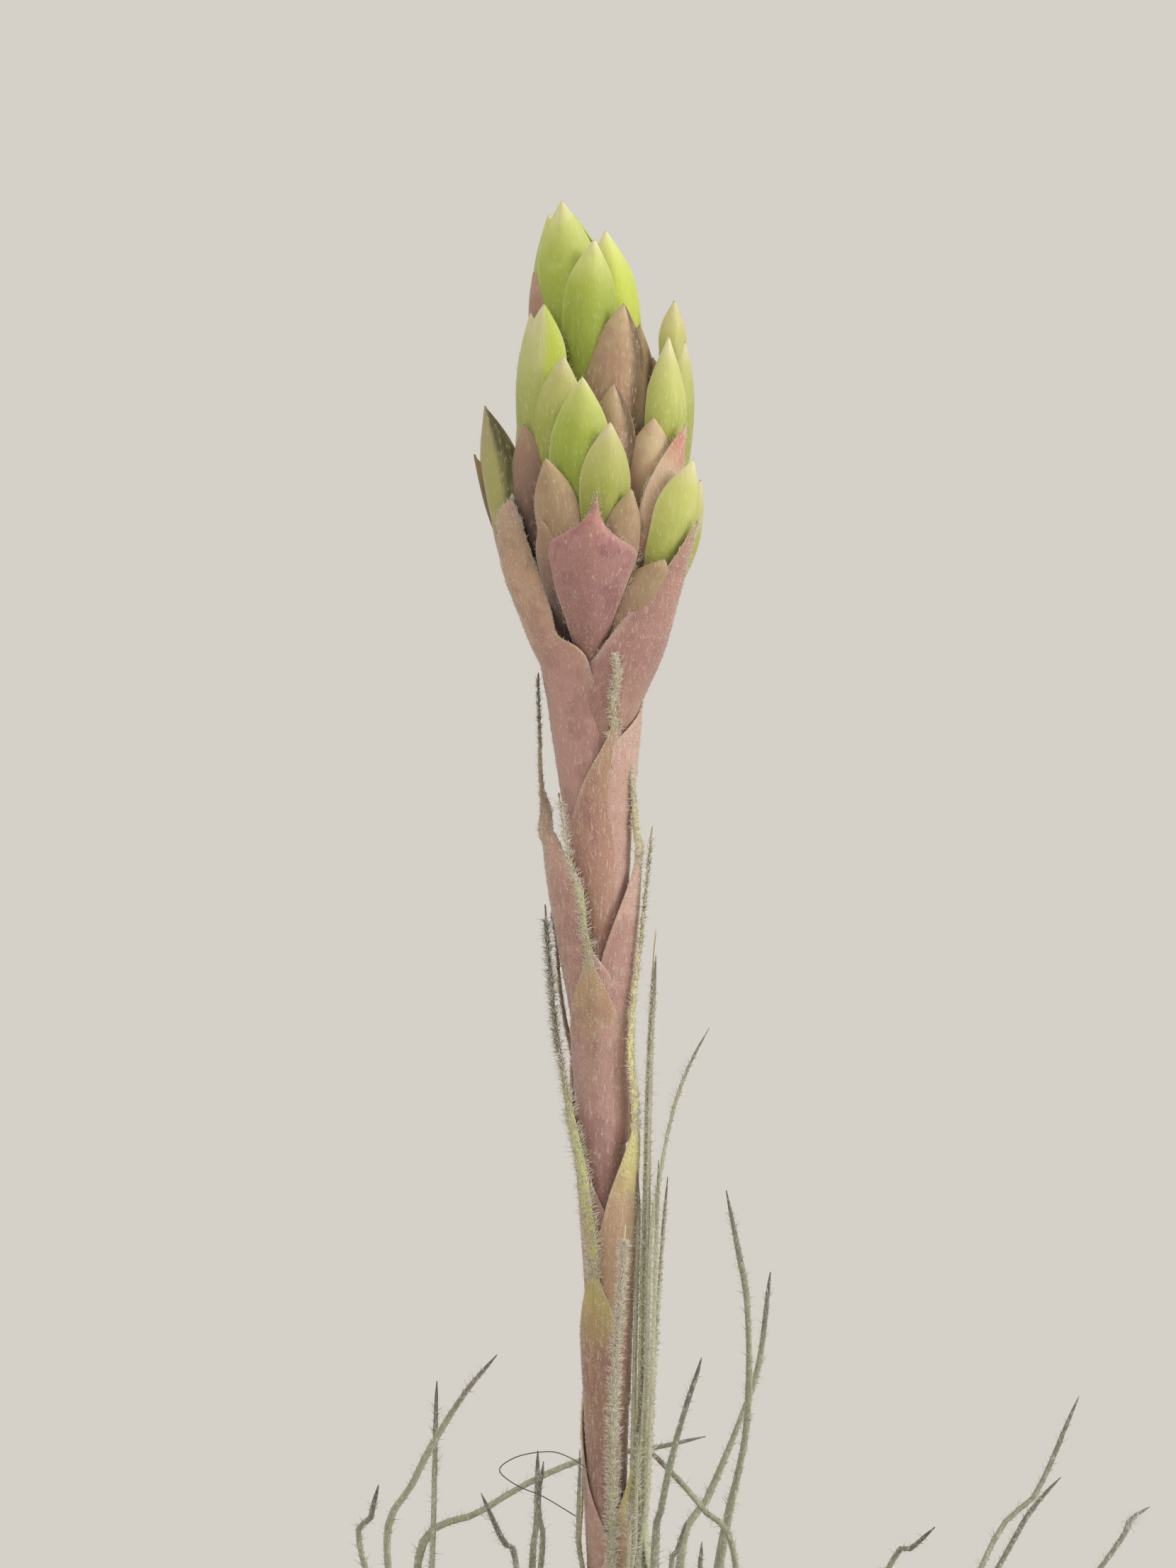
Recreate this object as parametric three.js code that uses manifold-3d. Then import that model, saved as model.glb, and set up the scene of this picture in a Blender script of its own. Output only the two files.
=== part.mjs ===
// A flowering air plant held in a small wood and steel stand. Millimetres, +Z up.
// The origin is the middle of the underside that the stand rests on.

import * as THREE from "three";
import { mergeVertices } from "three/addons/utils/BufferGeometryUtils.js";
import Module from "manifold-3d";

const wasm = await Module();
wasm.setup();

// ---------------------------------------------------------------- driving dimensions

const clearance = 0.3; // gap kept between pieces that touch

// stand
const padDiameter = 84;
const padThickness = 2;
const baseDiameter = 92;
const baseThickness = 16;
const baseEdgeRadius = 5;
const postDiameter = 4;
const postExposed = 38; // from the base's top to the hub's underside
const collarDiameter = 12;
const collarHeight = 5;
const washerDiameter = 9;
const washerThickness = 0.8;
const nutAcrossFlats = 7;
const nutThickness = 3.2;
const counterboreDiameter = 14;
const counterboreDepth = 6;
const threadBelowNut = 0.8;
const hubDiameter = 10;
const hubHeight = 7;
const hubSocketDepth = 4;
const wireDiameter = 1.8; // the three prongs
const wireInHub = 1.9; // how deep its foot sits in the hub
const prongHeight = 20; // from the wire's foot to its tip
const prongFlare = 2.2; // how far the tip leans out
const prongCount = 3;

// rosette
const stemRadius = 6.9; // at its thickest, with the old leaf bases on it
const stemLength = 32;
const leafLength = 75;
const leafHalfWidth = 2; // at the base
const leafHalfThickness = 0.6;
const leafTipHalfWidth = 0.45;

// flower stalk
const scapeRadius = 1.5;
const scapeTopRadius = 0.9;
const scapeFootOffset = 0.6; // the stalk's foot lies this far to +X of the axis
const scapeLean = -1.9; // and its top this far to -X of its foot
const scapeLength = 110; // up to the flower head
const bractLength = 24; // with its awn
const bractThickness = 0.7;
const bractCount = 13;
const topBractLength = 14; // the stretch of stalk that the last one has to itself

// flower head
const headHeight = 41.6;
const headRadius = 10;
const spikeHalfThickness = 1.6;
const coverHalfThickness = 0.5; // the broad bract at the foot of a spike

// levels that follow
const baseTop = padThickness + baseThickness;
const hubBottom = baseTop + postExposed;
const hubTop = hubBottom + hubHeight;
const prongFoot = hubBottom + hubHeight / 2;
const stemBottom = hubTop + clearance;
const stemTop = stemBottom + stemLength;
const scapeBottom = stemTop + clearance;
const headBottom = scapeBottom + scapeLength;
const bractPitch = (scapeLength - topBractLength) / (bractCount - 1);

const postRadius = postDiameter / 2;
const boreRadius = postRadius + clearance;
const wireRadius = wireDiameter / 2;
const prongReach = stemRadius + clearance + wireRadius; // the upright part holds the stem

// ---------------------------------------------------------------- materials

const finishes = {
  felt: { color: 0x6d675f, roughness: 0.95, metalness: 0 },
  wood: { color: 0x8a6242, roughness: 0.55, metalness: 0 },
  steel: { color: 0xb9bbbd, roughness: 0.35, metalness: 1 },
  stem: { color: 0x7c6a4a, roughness: 0.9, metalness: 0 },
  leaf: { color: 0xa3a789, roughness: 0.85, metalness: 0 },
  scape: { color: 0x9a8a5a, roughness: 0.8, metalness: 0 },
  bract: { color: 0xb48a7c, roughness: 0.7, metalness: 0 },
  spike: { color: 0x9aa24a, roughness: 0.7, metalness: 0 },
};

const plant = new THREE.Group();

function add(name, geometry, finish) {
  const mesh = new THREE.Mesh(geometry, new THREE.MeshStandardMaterial(finishes[finish]));
  mesh.name = name;
  plant.add(mesh);
  return mesh;
}

// ---------------------------------------------------------------- shared shapes

// A solid turned about the Z axis from a list of [radius, height].
function turned(profile, segments) {
  const points = profile.map(([radius, height]) => new THREE.Vector2(radius, height));
  const geometry = new THREE.LatheGeometry(points, segments);
  geometry.rotateX(Math.PI / 2);
  return geometry;
}

// A flat plate with a round hole, lying on the level given.
function drilledPlate(outline, holeRadius, thickness, level) {
  const hole = new THREE.Path();
  hole.absarc(0, 0, holeRadius, 0, 2 * Math.PI, true);
  outline.holes.push(hole);
  const geometry = new THREE.ExtrudeGeometry(outline, {
    depth: thickness,
    bevelEnabled: false,
    curveSegments: 14,
  });
  geometry.translate(0, 0, level);
  return geometry;
}

function disc(radius) {
  const outline = new THREE.Shape();
  outline.absarc(0, 0, radius, 0, 2 * Math.PI, false);
  return outline;
}

// A quarter round from one [radius, height] to the next, about the centre given.
function quarterRound(centreRadius, centreHeight, radius, from, steps) {
  const points = [];
  for (let i = 0; i <= steps; i++) {
    const angle = from + (i / steps) * (Math.PI / 2);
    points.push([
      centreRadius + radius * Math.cos(angle),
      centreHeight + radius * Math.sin(angle),
    ]);
  }
  return points;
}

// A solid that follows a curve, as wide as halfWidth(t) along the side direction, and as thick
// as halfThickness(t) across it.
function grown(curve, side, halfWidth, halfThickness, sides, steps) {
  const geometry = new THREE.CylinderGeometry(1, 1, 1, sides, steps);
  const position = geometry.attributes.position;
  for (let i = 0; i < position.count; i++) {
    const t = position.getY(i) + 0.5;
    const along = curve.getTangent(t);
    const across = side.clone().addScaledVector(along, -side.dot(along)).normalize();
    const through = new THREE.Vector3().crossVectors(across, along);
    const point = curve
      .getPoint(t)
      .addScaledVector(across, position.getX(i) * halfWidth(t))
      .addScaledVector(through, position.getZ(i) * halfThickness(t));
    position.setXYZ(i, point.x, point.y, point.z);
  }
  return geometry;
}

// The same surface as a manifold solid, for cuts.
function toSolid(geometry) {
  const bare = geometry.clone();
  bare.deleteAttribute("normal");
  bare.deleteAttribute("uv");
  const merged = mergeVertices(bare, 1e-4);
  const corners = merged.index.array;
  const kept = [];
  for (let i = 0; i < corners.length; i += 3) {
    const [a, b, c] = [corners[i], corners[i + 1], corners[i + 2]];
    if (a !== b && b !== c && c !== a) kept.push(a, b, c);
  }
  return new wasm.Manifold(
    new wasm.Mesh({
      numProp: 3,
      vertProperties: Float32Array.from(merged.attributes.position.array),
      triVerts: Uint32Array.from(kept),
    }),
  );
}

function fromSolid(solid) {
  const mesh = solid.getMesh();
  const geometry = new THREE.BufferGeometry();
  geometry.setAttribute("position", new THREE.BufferAttribute(mesh.vertProperties, 3));
  geometry.setIndex(new THREE.BufferAttribute(mesh.triVerts, 1));
  geometry.computeVertexNormals();
  return geometry;
}

const degrees = (angle) => (angle * Math.PI) / 180;
const outward = (azimuth) =>
  new THREE.Vector3(Math.cos(degrees(azimuth)), Math.sin(degrees(azimuth)), 0);
const sideways = (azimuth) => outward(azimuth + 90);
const up = new THREE.Vector3(0, 0, 1);

// ---------------------------------------------------------------- stand

function makePad() {
  const pad = new THREE.CylinderGeometry(padDiameter / 2, padDiameter / 2, padThickness, 48);
  pad.rotateX(Math.PI / 2);
  pad.translate(0, 0, padThickness / 2);
  add("base_pad", pad, "felt");
}

function makeBase() {
  const outer = baseDiameter / 2;
  const edge = Math.min(baseEdgeRadius, baseThickness / 2 - 1);
  const counterboreTop = padThickness + counterboreDepth;
  const profile = [
    [counterboreDiameter / 2, padThickness],
    ...quarterRound(outer - edge / 2, padThickness + edge / 2, edge / 2, -Math.PI / 2, 2),
    ...quarterRound(outer - edge, baseTop - edge, edge, 0, 4),
    [boreRadius, baseTop],
    [boreRadius, counterboreTop],
    [counterboreDiameter / 2, counterboreTop],
    [counterboreDiameter / 2, padThickness],
  ];
  add("base", turned(profile, 48), "wood");
}

function makeFastening() {
  const washerLevel = padThickness + counterboreDepth - washerThickness;
  const washer = drilledPlate(disc(washerDiameter / 2), boreRadius, washerThickness, washerLevel);
  add("post_washer", washer, "steel");

  const corner = nutAcrossFlats / Math.sqrt(3);
  const hexagon = new THREE.Shape();
  for (let i = 0; i < 6; i++) {
    const angle = degrees(60 * i);
    const move = i ? "lineTo" : "moveTo";
    hexagon[move](corner * Math.cos(angle), corner * Math.sin(angle));
  }
  const nutLevel = washerLevel - nutThickness;
  add("post_nut", drilledPlate(hexagon, boreRadius, nutThickness, nutLevel), "steel");

  const postBottom = nutLevel - threadBelowNut;
  const postTop = hubBottom + hubSocketDepth - clearance;
  const post = new THREE.CylinderGeometry(postRadius, postRadius, postTop - postBottom, 24);
  post.rotateX(Math.PI / 2);
  post.translate(0, 0, (postTop + postBottom) / 2);
  add("post", post, "steel");
}

function makeCollar() {
  const round = collarHeight / 4;
  const top = baseTop + collarHeight;
  const profile = [
    [boreRadius, baseTop],
    [collarDiameter / 2, baseTop],
    ...quarterRound(collarDiameter / 2 - round, top - round, round, 0, 3),
    [boreRadius, top],
    [boreRadius, baseTop],
  ];
  add("post_collar", turned(profile, 28), "steel");
}

const prongAzimuth = (i) => 90 + (360 / prongCount) * i;

function makeHub() {
  const outer = hubDiameter / 2;
  const body = new THREE.CylinderGeometry(outer, outer, hubHeight, 32);
  body.rotateX(Math.PI / 2);
  body.translate(0, 0, hubBottom + hubHeight / 2);

  const socketDepth = hubSocketDepth;
  const socket = new THREE.CylinderGeometry(boreRadius, boreRadius, 2 * socketDepth, 24);
  socket.rotateX(Math.PI / 2);
  socket.translate(0, 0, hubBottom);

  let hub = toSolid(body).subtract(toSolid(socket));
  for (let i = 0; i < prongCount; i++) {
    const radius = wireRadius + clearance;
    const hole = new THREE.CylinderGeometry(radius, radius, 2 * (wireInHub + clearance), 12);
    hole.rotateZ(Math.PI / 2);
    hole.translate(outer, 0, 0);
    hole.rotateZ(degrees(prongAzimuth(i)));
    hole.translate(0, 0, prongFoot);
    hub = hub.subtract(toSolid(hole));
  }
  add("cradle_hub", fromSolid(hub), "steel");
}

function makeProng(i) {
  const away = outward(prongAzimuth(i));
  const at = (radius, level) => away.clone().multiplyScalar(radius).addScaledVector(up, level);
  const bend = Math.min(4, (prongReach - hubDiameter / 2) * 0.9);
  const upright = prongFoot + prongHeight - 3 * prongFlare;
  const route = new THREE.CurvePath();
  route.add(
    new THREE.LineCurve3(
      at(hubDiameter / 2 - wireInHub, prongFoot),
      at(prongReach - bend, prongFoot),
    ),
  );
  route.add(
    new THREE.QuadraticBezierCurve3(
      at(prongReach - bend, prongFoot),
      at(prongReach, prongFoot),
      at(prongReach, prongFoot + bend),
    ),
  );
  route.add(new THREE.LineCurve3(at(prongReach, prongFoot + bend), at(prongReach, upright)));
  route.add(
    new THREE.QuadraticBezierCurve3(
      at(prongReach, upright),
      at(prongReach, prongFoot + prongHeight - prongFlare),
      at(prongReach + prongFlare, prongFoot + prongHeight),
    ),
  );
  const radius = () => wireRadius;
  add(`cradle_prong_${i + 1}`, grown(route, sideways(prongAzimuth(i)), radius, radius, 8, 24), "steel");
}

// ---------------------------------------------------------------- rosette

// The short stem's radius at a share of its height.
const stemShape = [
  [0, 0.6],
  [0.1, 0.8],
  [0.3, 0.97],
  [0.5, 1],
  [0.7, 0.9],
  [0.86, 0.72],
  [0.95, 0.6],
  [1, 0.5],
];

function stemRadiusAt(share) {
  const next = stemShape.findIndex(([s]) => s >= share);
  if (next <= 0) return stemShape[0][1] * stemRadius;
  const [s0, r0] = stemShape[next - 1];
  const [s1, r1] = stemShape[next];
  return stemRadius * (r0 + ((share - s0) / (s1 - s0)) * (r1 - r0));
}

function makeStem() {
  const rings = stemShape.map(([share, radius]) => [
    radius * stemRadius,
    stemBottom + share * stemLength,
  ]);
  add("stem", turned([[0, stemBottom], ...rings, [0, stemTop]], 24), "stem");
}

// Each leaf leaves the stem at a share of its height, towards an azimuth, at a rise above the
// horizontal. Its tip lies at a place given in leaf lengths from the middle of the stem's top,
// and bow says how far along its first direction it keeps straight.
const leaves = [
  // upright ones round the stalk
  { at: 0.95, azimuth: -22, rise: 84, bow: 0.42, tip: [0.125, -0.05, 1.058] },
  { at: 0.95, azimuth: 50, rise: 66, bow: 0.5, tip: [0.145, 0.3, 0.868] },
  { at: 0.95, azimuth: 122, rise: 62, bow: 0.4, tip: [-0.076, 0.4, 0.563] },
  { at: 0.95, azimuth: 205, rise: 55, bow: 0.45, tip: [-0.124, -0.22, 0.675] },
  { at: 0.95, azimuth: 285, rise: 70, bow: 0.4, tip: [0.117, -0.2, 0.672] },
  // the middle whorl
  { at: 0.8, azimuth: 72, rise: 52, bow: 0.45, tip: [0.197, 0.42, 0.772] },
  { at: 0.8, azimuth: 150, rise: 24, bow: 0.62, tip: [0.12, 0.16, 0.576] },
  { at: 0.8, azimuth: 238, rise: 45, bow: 0.4, tip: [-0.263, -0.43, 0.521] },
  { at: 0.8, azimuth: 305, rise: 40, bow: 0.4, tip: [0.39, -0.42, 0.472] },
  { at: 0.8, azimuth: 18, rise: 38, bow: 0.4, tip: [0.538, 0.18, 0.531] },
  { at: 0.6, azimuth: 185, rise: 48, bow: 0.5, tip: [-0.195, 0.1, 0.644] },
  { at: 0.6, azimuth: 340, rise: 40, bow: 0.4, tip: [0.56, -0.12, 0.625] },
  { at: 0.62, azimuth: 40, rise: 30, bow: 0.4, tip: [0.643, 0.5, 0.496] },
  // the spreading outer ones
  { at: 0.6, azimuth: 90, rise: 12, bow: 0.5, tip: [0.06, 0.98, 0.12] },
  { at: 0.6, azimuth: 270, rise: 10, bow: 0.5, tip: [-0.08, -0.99, 0.08] },
  { at: 0.36, azimuth: 8, rise: 0, bow: 0.5, tip: [1.02, -0.06, -0.1] },
  { at: 0.36, azimuth: 128, rise: 2, bow: 0.5, tip: [-0.62, 0.76, -0.04] },
  { at: 0.36, azimuth: 172, rise: 4, bow: 0.5, tip: [-1.02, -0.02, -0.02] },
  { at: 0.36, azimuth: 246, rise: -4, bow: 0.5, tip: [-0.58, -0.76, -0.22] },
  { at: 0.14, azimuth: 52, rise: -14, bow: 0.5, tip: [0.62, 0.6, -0.62] },
  { at: 0.14, azimuth: 294, rise: -16, bow: 0.5, tip: [0.5, -0.66, -0.66] },
];

function makeLeaf(leaf, number) {
  const { at, azimuth, rise, bow, tip } = leaf;
  const rising = Math.sin(degrees(rise));
  const start = outward(azimuth)
    .multiplyScalar(Math.cos(degrees(rise)))
    .addScaledVector(up, rising);
  const seat = stemRadiusAt(at) + clearance + leafHalfThickness * Math.abs(rising);
  const foot = outward(azimuth).multiplyScalar(seat).setZ(stemBottom + at * stemLength);
  const end = new THREE.Vector3(...tip).multiplyScalar(leafLength).addScaledVector(up, stemTop);
  const turn = foot.clone().addScaledVector(start, bow * foot.distanceTo(end));
  const route = new THREE.QuadraticBezierCurve3(foot, turn, end);
  const halfWidth = (t) =>
    leafTipHalfWidth + (leafHalfWidth - leafTipHalfWidth) * Math.pow(1 - t, 1.3) - 0.2 * t;
  const halfThickness = (t) => leafHalfThickness * (1 - 0.6 * t);
  const name = `leaf_${String(number + 1).padStart(2, "0")}`;
  add(name, grown(route, sideways(azimuth), halfWidth, halfThickness, 6, 12), "leaf");
}

// ---------------------------------------------------------------- flower stalk

const rachisShare = 0.26; // how far the stalk runs up into the head
const stalkTop = headBottom + rachisShare * headHeight;
const stalkRoute = new THREE.QuadraticBezierCurve3(
  new THREE.Vector3(scapeFootOffset, 0, scapeBottom),
  new THREE.Vector3(scapeFootOffset, 0, (scapeBottom + stalkTop) / 2),
  new THREE.Vector3(scapeFootOffset + scapeLean, 0, stalkTop),
);
const stalkShare = (level) => (level - scapeBottom) / (stalkTop - scapeBottom);
const stalkRadiusAt = (level) =>
  scapeRadius + (scapeTopRadius - scapeRadius) * Math.min(1, stalkShare(level));
const stalkCentre = (level) => stalkRoute.getPoint(Math.min(1, Math.max(0, stalkShare(level))));

function makeStalk() {
  const radius = (t) => scapeRadius + (scapeTopRadius - scapeRadius) * t;
  add("scape", grown(stalkRoute, new THREE.Vector3(1, 0, 0), radius, radius, 10, 16), "scape");
}

// A stalk bract: a sheath that clasps the stalk, running out into a long awn that stands just
// clear of the sheaths above it.
const sheathShare = 0.72; // of the pitch
const sheathHalfAngle = 105;
const awnHalfWidth = 0.6;
const awnFlare = 1.4; // how far its tip leans out
const sheathRows = 2;
const bractRows = 8;
const bractTurn = 135; // degrees round the stalk from one to the next

function makeStalkBract(i) {
  const level = scapeBottom + clearance + i * bractPitch;
  const azimuth = 250 + i * bractTurn;
  const awnStart = bractPitch - clearance;
  const length = Math.min(bractLength, headBottom - 5 * clearance - level);
  const geometry = new THREE.BoxGeometry(2, 1, 1, 4, bractRows, 1);
  const position = geometry.attributes.position;
  for (let k = 0; k < position.count; k++) {
    const row = Math.round((position.getY(k) + 0.5) * bractRows);
    const outer = position.getZ(k) > 0;
    const inSheath = row <= sheathRows;
    const along = inSheath ? row / sheathRows : (row - sheathRows - 1) / (bractRows - sheathRows - 1);
    const height = inSheath
      ? along * sheathShare * bractPitch
      : awnStart + along * (length - awnStart);
    const standOff = inSheath ? 0 : bractThickness + clearance + awnFlare * along * along;
    const radius =
      stalkRadiusAt(level) + clearance + standOff + (outer ? bractThickness : 0);
    const halfAngle = inSheath
      ? degrees(sheathHalfAngle) * (1 - 0.3 * along)
      : (awnHalfWidth * (1 - 0.5 * along)) / radius;
    const angle = degrees(azimuth) + position.getX(k) * halfAngle;
    const centre = stalkCentre(level + height);
    position.setXYZ(
      k,
      centre.x + radius * Math.cos(angle),
      centre.y + radius * Math.sin(angle),
      level + height,
    );
  }
  add(`scape_bract_${String(i + 1).padStart(2, "0")}`, geometry, "bract");
}

// ---------------------------------------------------------------- flower head

// Each spike leaves the stalk at a share of the head's height, faces outwards to an azimuth, and
// passes through middle on its way to its tip. Both are shares of the head's radius and height.
const spikes = [
  { name: "top", foot: 0.28, facing: 270, halfWidth: 4.6, middle: [0.1, 0.08, 0.62], tip: [-0.24, 0.05, 1] },
  { name: "front", foot: 0.04, facing: 270, halfWidth: 4.2, middle: [0.02, -0.62, 0.3], tip: [-0.06, -0.52, 0.625] },
  { name: "right_low", foot: 0.03, facing: 322, halfWidth: 3.9, middle: [0.74, -0.44, 0.16], tip: [0.925, -0.36, 0.455] },
  { name: "left", foot: 0.1, facing: 215, halfWidth: 3.4, middle: [-0.6, -0.26, 0.42], tip: [-0.37, -0.2, 0.785] },
  { name: "right", foot: 0.16, facing: 335, halfWidth: 3.2, middle: [0.66, -0.08, 0.44], tip: [0.77, 0.02, 0.79] },
  { name: "left_low", foot: 0.05, facing: 200, halfWidth: 3.4, middle: [-0.84, 0.04, 0.2], tip: [-0.925, 0.08, 0.567] },
  { name: "back_left", foot: 0.12, facing: 125, halfWidth: 3.6, middle: [-0.46, 0.56, 0.36], tip: [-0.42, 0.58, 0.68] },
  { name: "back_right", foot: 0.08, facing: 55, halfWidth: 3.6, middle: [0.42, 0.6, 0.36], tip: [0.42, 0.6, 0.72] },
];

function headPoint([x, y, z]) {
  const centre = stalkCentre(headBottom + z * headHeight);
  return new THREE.Vector3(
    centre.x + x * headRadius,
    centre.y + y * headRadius,
    headBottom + z * headHeight,
  );
}

const spikeWidthShape = (t) => 0.12 + 0.88 * Math.pow(Math.sin(Math.PI * Math.pow(t, 0.8)), 0.8);

// The spike's solid, or one that is larger all round by the gap given.
function spikeGeometry(spike, gap) {
  const footLevel = headBottom + spike.foot * headHeight;
  const onAxis = spike.foot >= rachisShare;
  const reach = onAxis ? 0 : stalkRadiusAt(footLevel) + 2 * clearance;
  const foot = stalkCentre(footLevel)
    .setZ(footLevel + (onAxis ? clearance : 0))
    .addScaledVector(outward(spike.facing), reach);
  const route = new THREE.QuadraticBezierCurve3(foot, headPoint(spike.middle), headPoint(spike.tip));
  const halfWidth = (t) => spike.halfWidth * spikeWidthShape(t) + gap;
  const halfThickness = (t) => spikeHalfThickness * (0.3 + 0.7 * Math.sin(Math.PI * t)) + gap;
  return grown(route, sideways(spike.facing), halfWidth, halfThickness, 8, 10);
}

const coveredSpikes = ["front", "right_low", "left", "right", "left_low", "back_left"];

// The broad bract at a spike's foot lies on its outer face, a clearance off it.
function coverGeometry(spike) {
  const away = outward(spike.facing);
  const off = 1.6 * spikeHalfThickness + coverHalfThickness + clearance;
  const footLevel = headBottom + (spike.foot - 0.04) * headHeight;
  const foot = stalkCentre(footLevel)
    .setZ(footLevel)
    .addScaledVector(away, stalkRadiusAt(footLevel) + 2 * clearance + 2 * coverHalfThickness);
  const middle = headPoint(spike.middle).addScaledVector(away, off).addScaledVector(up, -4);
  const end = headPoint(spike.middle).addScaledVector(away, 0.62 * off).addScaledVector(up, 3);
  const route = new THREE.QuadraticBezierCurve3(foot, middle, end);
  const halfWidth = (t) => (spike.halfWidth - 0.4) * spikeWidthShape(t);
  const halfThickness = () => coverHalfThickness;
  return grown(route, sideways(spike.facing), halfWidth, halfThickness, 8, 8);
}

function makeHead() {
  const stalk = toSolid(
    grown(
      stalkRoute,
      new THREE.Vector3(1, 0, 0),
      (t) => scapeRadius + (scapeTopRadius - scapeRadius) * t + clearance,
      (t) => scapeRadius + (scapeTopRadius - scapeRadius) * t + clearance,
      10,
      16,
    ),
  );
  const taken = [];
  for (const spike of spikes) {
    let solid = toSolid(spikeGeometry(spike, 0)).subtract(stalk);
    for (const other of taken) solid = solid.subtract(other);
    add(`spike_${spike.name}`, fromSolid(solid), "spike");
    taken.push(toSolid(spikeGeometry(spike, clearance)));
  }
  for (const spike of spikes.filter(({ name }) => coveredSpikes.includes(name))) {
    let solid = toSolid(coverGeometry(spike));
    for (const other of taken) solid = solid.subtract(other);
    add(`primary_bract_${spike.name}`, fromSolid(solid), "bract");
  }
}

// ---------------------------------------------------------------- the whole

makePad();
makeBase();
makeFastening();
makeCollar();
makeHub();
for (let i = 0; i < prongCount; i++) makeProng(i);
makeStem();
leaves.forEach(makeLeaf);
makeStalk();
for (let i = 0; i < bractCount; i++) makeStalkBract(i);
makeHead();

export default plant;
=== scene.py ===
import math
import random

import bmesh
import bpy
import numpy as np
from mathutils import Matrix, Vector


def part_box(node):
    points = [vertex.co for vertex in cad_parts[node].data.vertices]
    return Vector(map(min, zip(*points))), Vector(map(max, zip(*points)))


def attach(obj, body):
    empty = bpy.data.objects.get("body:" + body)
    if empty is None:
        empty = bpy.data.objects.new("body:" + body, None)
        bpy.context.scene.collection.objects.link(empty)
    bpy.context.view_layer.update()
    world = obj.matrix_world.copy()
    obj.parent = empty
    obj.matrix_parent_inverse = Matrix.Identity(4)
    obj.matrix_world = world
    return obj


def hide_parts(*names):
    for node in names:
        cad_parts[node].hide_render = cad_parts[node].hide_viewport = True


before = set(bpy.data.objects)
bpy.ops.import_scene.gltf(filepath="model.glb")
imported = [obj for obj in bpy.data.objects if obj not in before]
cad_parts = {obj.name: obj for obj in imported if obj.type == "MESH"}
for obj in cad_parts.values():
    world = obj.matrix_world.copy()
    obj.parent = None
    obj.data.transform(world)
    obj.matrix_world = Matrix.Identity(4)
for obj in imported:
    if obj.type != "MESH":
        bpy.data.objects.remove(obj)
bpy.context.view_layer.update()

mm = 0.001
scene = bpy.context.scene
scene.view_settings.view_transform = "Standard"

# the front view: places that are judged are given as seen from here, in mm

view = {
    "distance": 500.0,
    "centreX": -1.28,
    "lowerEdge": 126.7,  # height of the lower edge of the view, at the plant
    "height": 138.25,
    "headX": -1.19,      # the middle of the flower head, from the post's axis
    "headFoot": 79.0,    # the foot of the head, above the lower edge of the view
}
view["centreZ"] = view["lowerEdge"] + view["height"] / 2

# the first random seed of each kind of piece; the next piece takes the next one
firstSeed = {
    "floral": 100, "primary": 200, "collar": 260, "stalkBract": 300, "tallLeaf": 400,
    "outerLeaf": 460, "rosetteLeaf": 500, "bractDown": 5, "leafDown": 9,
}
wallOf = {"floral": 0.24, "primary": 0.3, "collar": 0.24, "stalkBract": 0.18}  # mm


# the point at depth y that shows x right of the axis and height up the view
def seenAt(x, height, y=0.0):
    scale = (view["distance"] + y) / view["distance"]
    along = view["centreX"] + (x - view["centreX"]) * scale
    level = view["centreZ"] + (view["lowerEdge"] + height - view["centreZ"]) * scale
    return np.array([along, y, level])


def inHead(x, height, y):
    return seenAt(x + view["headX"], height + view["headFoot"], y)


def azimuthOf(degrees):
    return np.array([math.cos(math.radians(degrees)), math.sin(math.radians(degrees)), 0.0])


def unit(rows):
    return rows / np.maximum(np.linalg.norm(rows, axis=-1, keepdims=True), 1e-9)


def smoothstep(low, high, x):
    t = np.clip((np.asarray(x, float) - low) / (high - low), 0, 1)
    return t * t * (3 - 2 * t)


def routeThrough(points, count):
    # a smooth curve through the points, as evenly spaced rows
    p = np.array(points, float)
    p = np.vstack([2 * p[0] - p[1], p, 2 * p[-1] - p[-2]])
    fine = []
    for i in range(1, len(p) - 2):
        for t in np.linspace(0, 1, 24, endpoint=i == len(p) - 3):
            a, b, c, d = p[i - 1], p[i], p[i + 1], p[i + 2]
            fine.append(0.5 * (2 * b + (c - a) * t + (2 * a - 5 * b + 4 * c - d) * t * t
                               + (3 * b - a - 3 * c + d) * t ** 3))
    fine = np.array(fine)
    run = np.concatenate([[0], np.cumsum(np.linalg.norm(np.diff(fine, axis=0), axis=1))])
    want = np.linspace(0, run[-1], count)
    return np.stack([np.interp(want, run, fine[:, k]) for k in range(3)], axis=1)


# shader maths

class Wire:  # a shader socket that can be used in sums
    def __init__(self, tree, socket):
        self.tree = tree
        self.socket = socket

    def maths(self, operation, other, swapped=False):
        node = self.tree.nodes.new("ShaderNodeMath")
        node.operation = operation
        terms = (other, self) if swapped else (self, other)
        for socket, term in zip(node.inputs, terms):
            plug(self.tree, socket, term)
        return Wire(self.tree, node.outputs[0])

    def __add__(self, other):
        return self.maths("ADD", other)

    def __radd__(self, other):
        return self.maths("ADD", other, True)

    def __sub__(self, other):
        return self.maths("SUBTRACT", other)

    def __rsub__(self, other):
        return self.maths("SUBTRACT", other, True)

    def __mul__(self, other):
        return self.maths("MULTIPLY", other)

    def __rmul__(self, other):
        return self.maths("MULTIPLY", other, True)


def plug(tree, socket, value):
    if isinstance(value, Wire):
        tree.links.new(value.socket, socket)
    elif value is not None:
        socket.default_value = value


def tint(red, green, blue):  # from the 0 to 255 of a colour picker
    def linear(c):
        c = c / 255
        return c / 12.92 if c <= 0.04045 else ((c + 0.055) / 1.055) ** 2.4
    return (linear(red), linear(green), linear(blue), 1.0)


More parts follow.
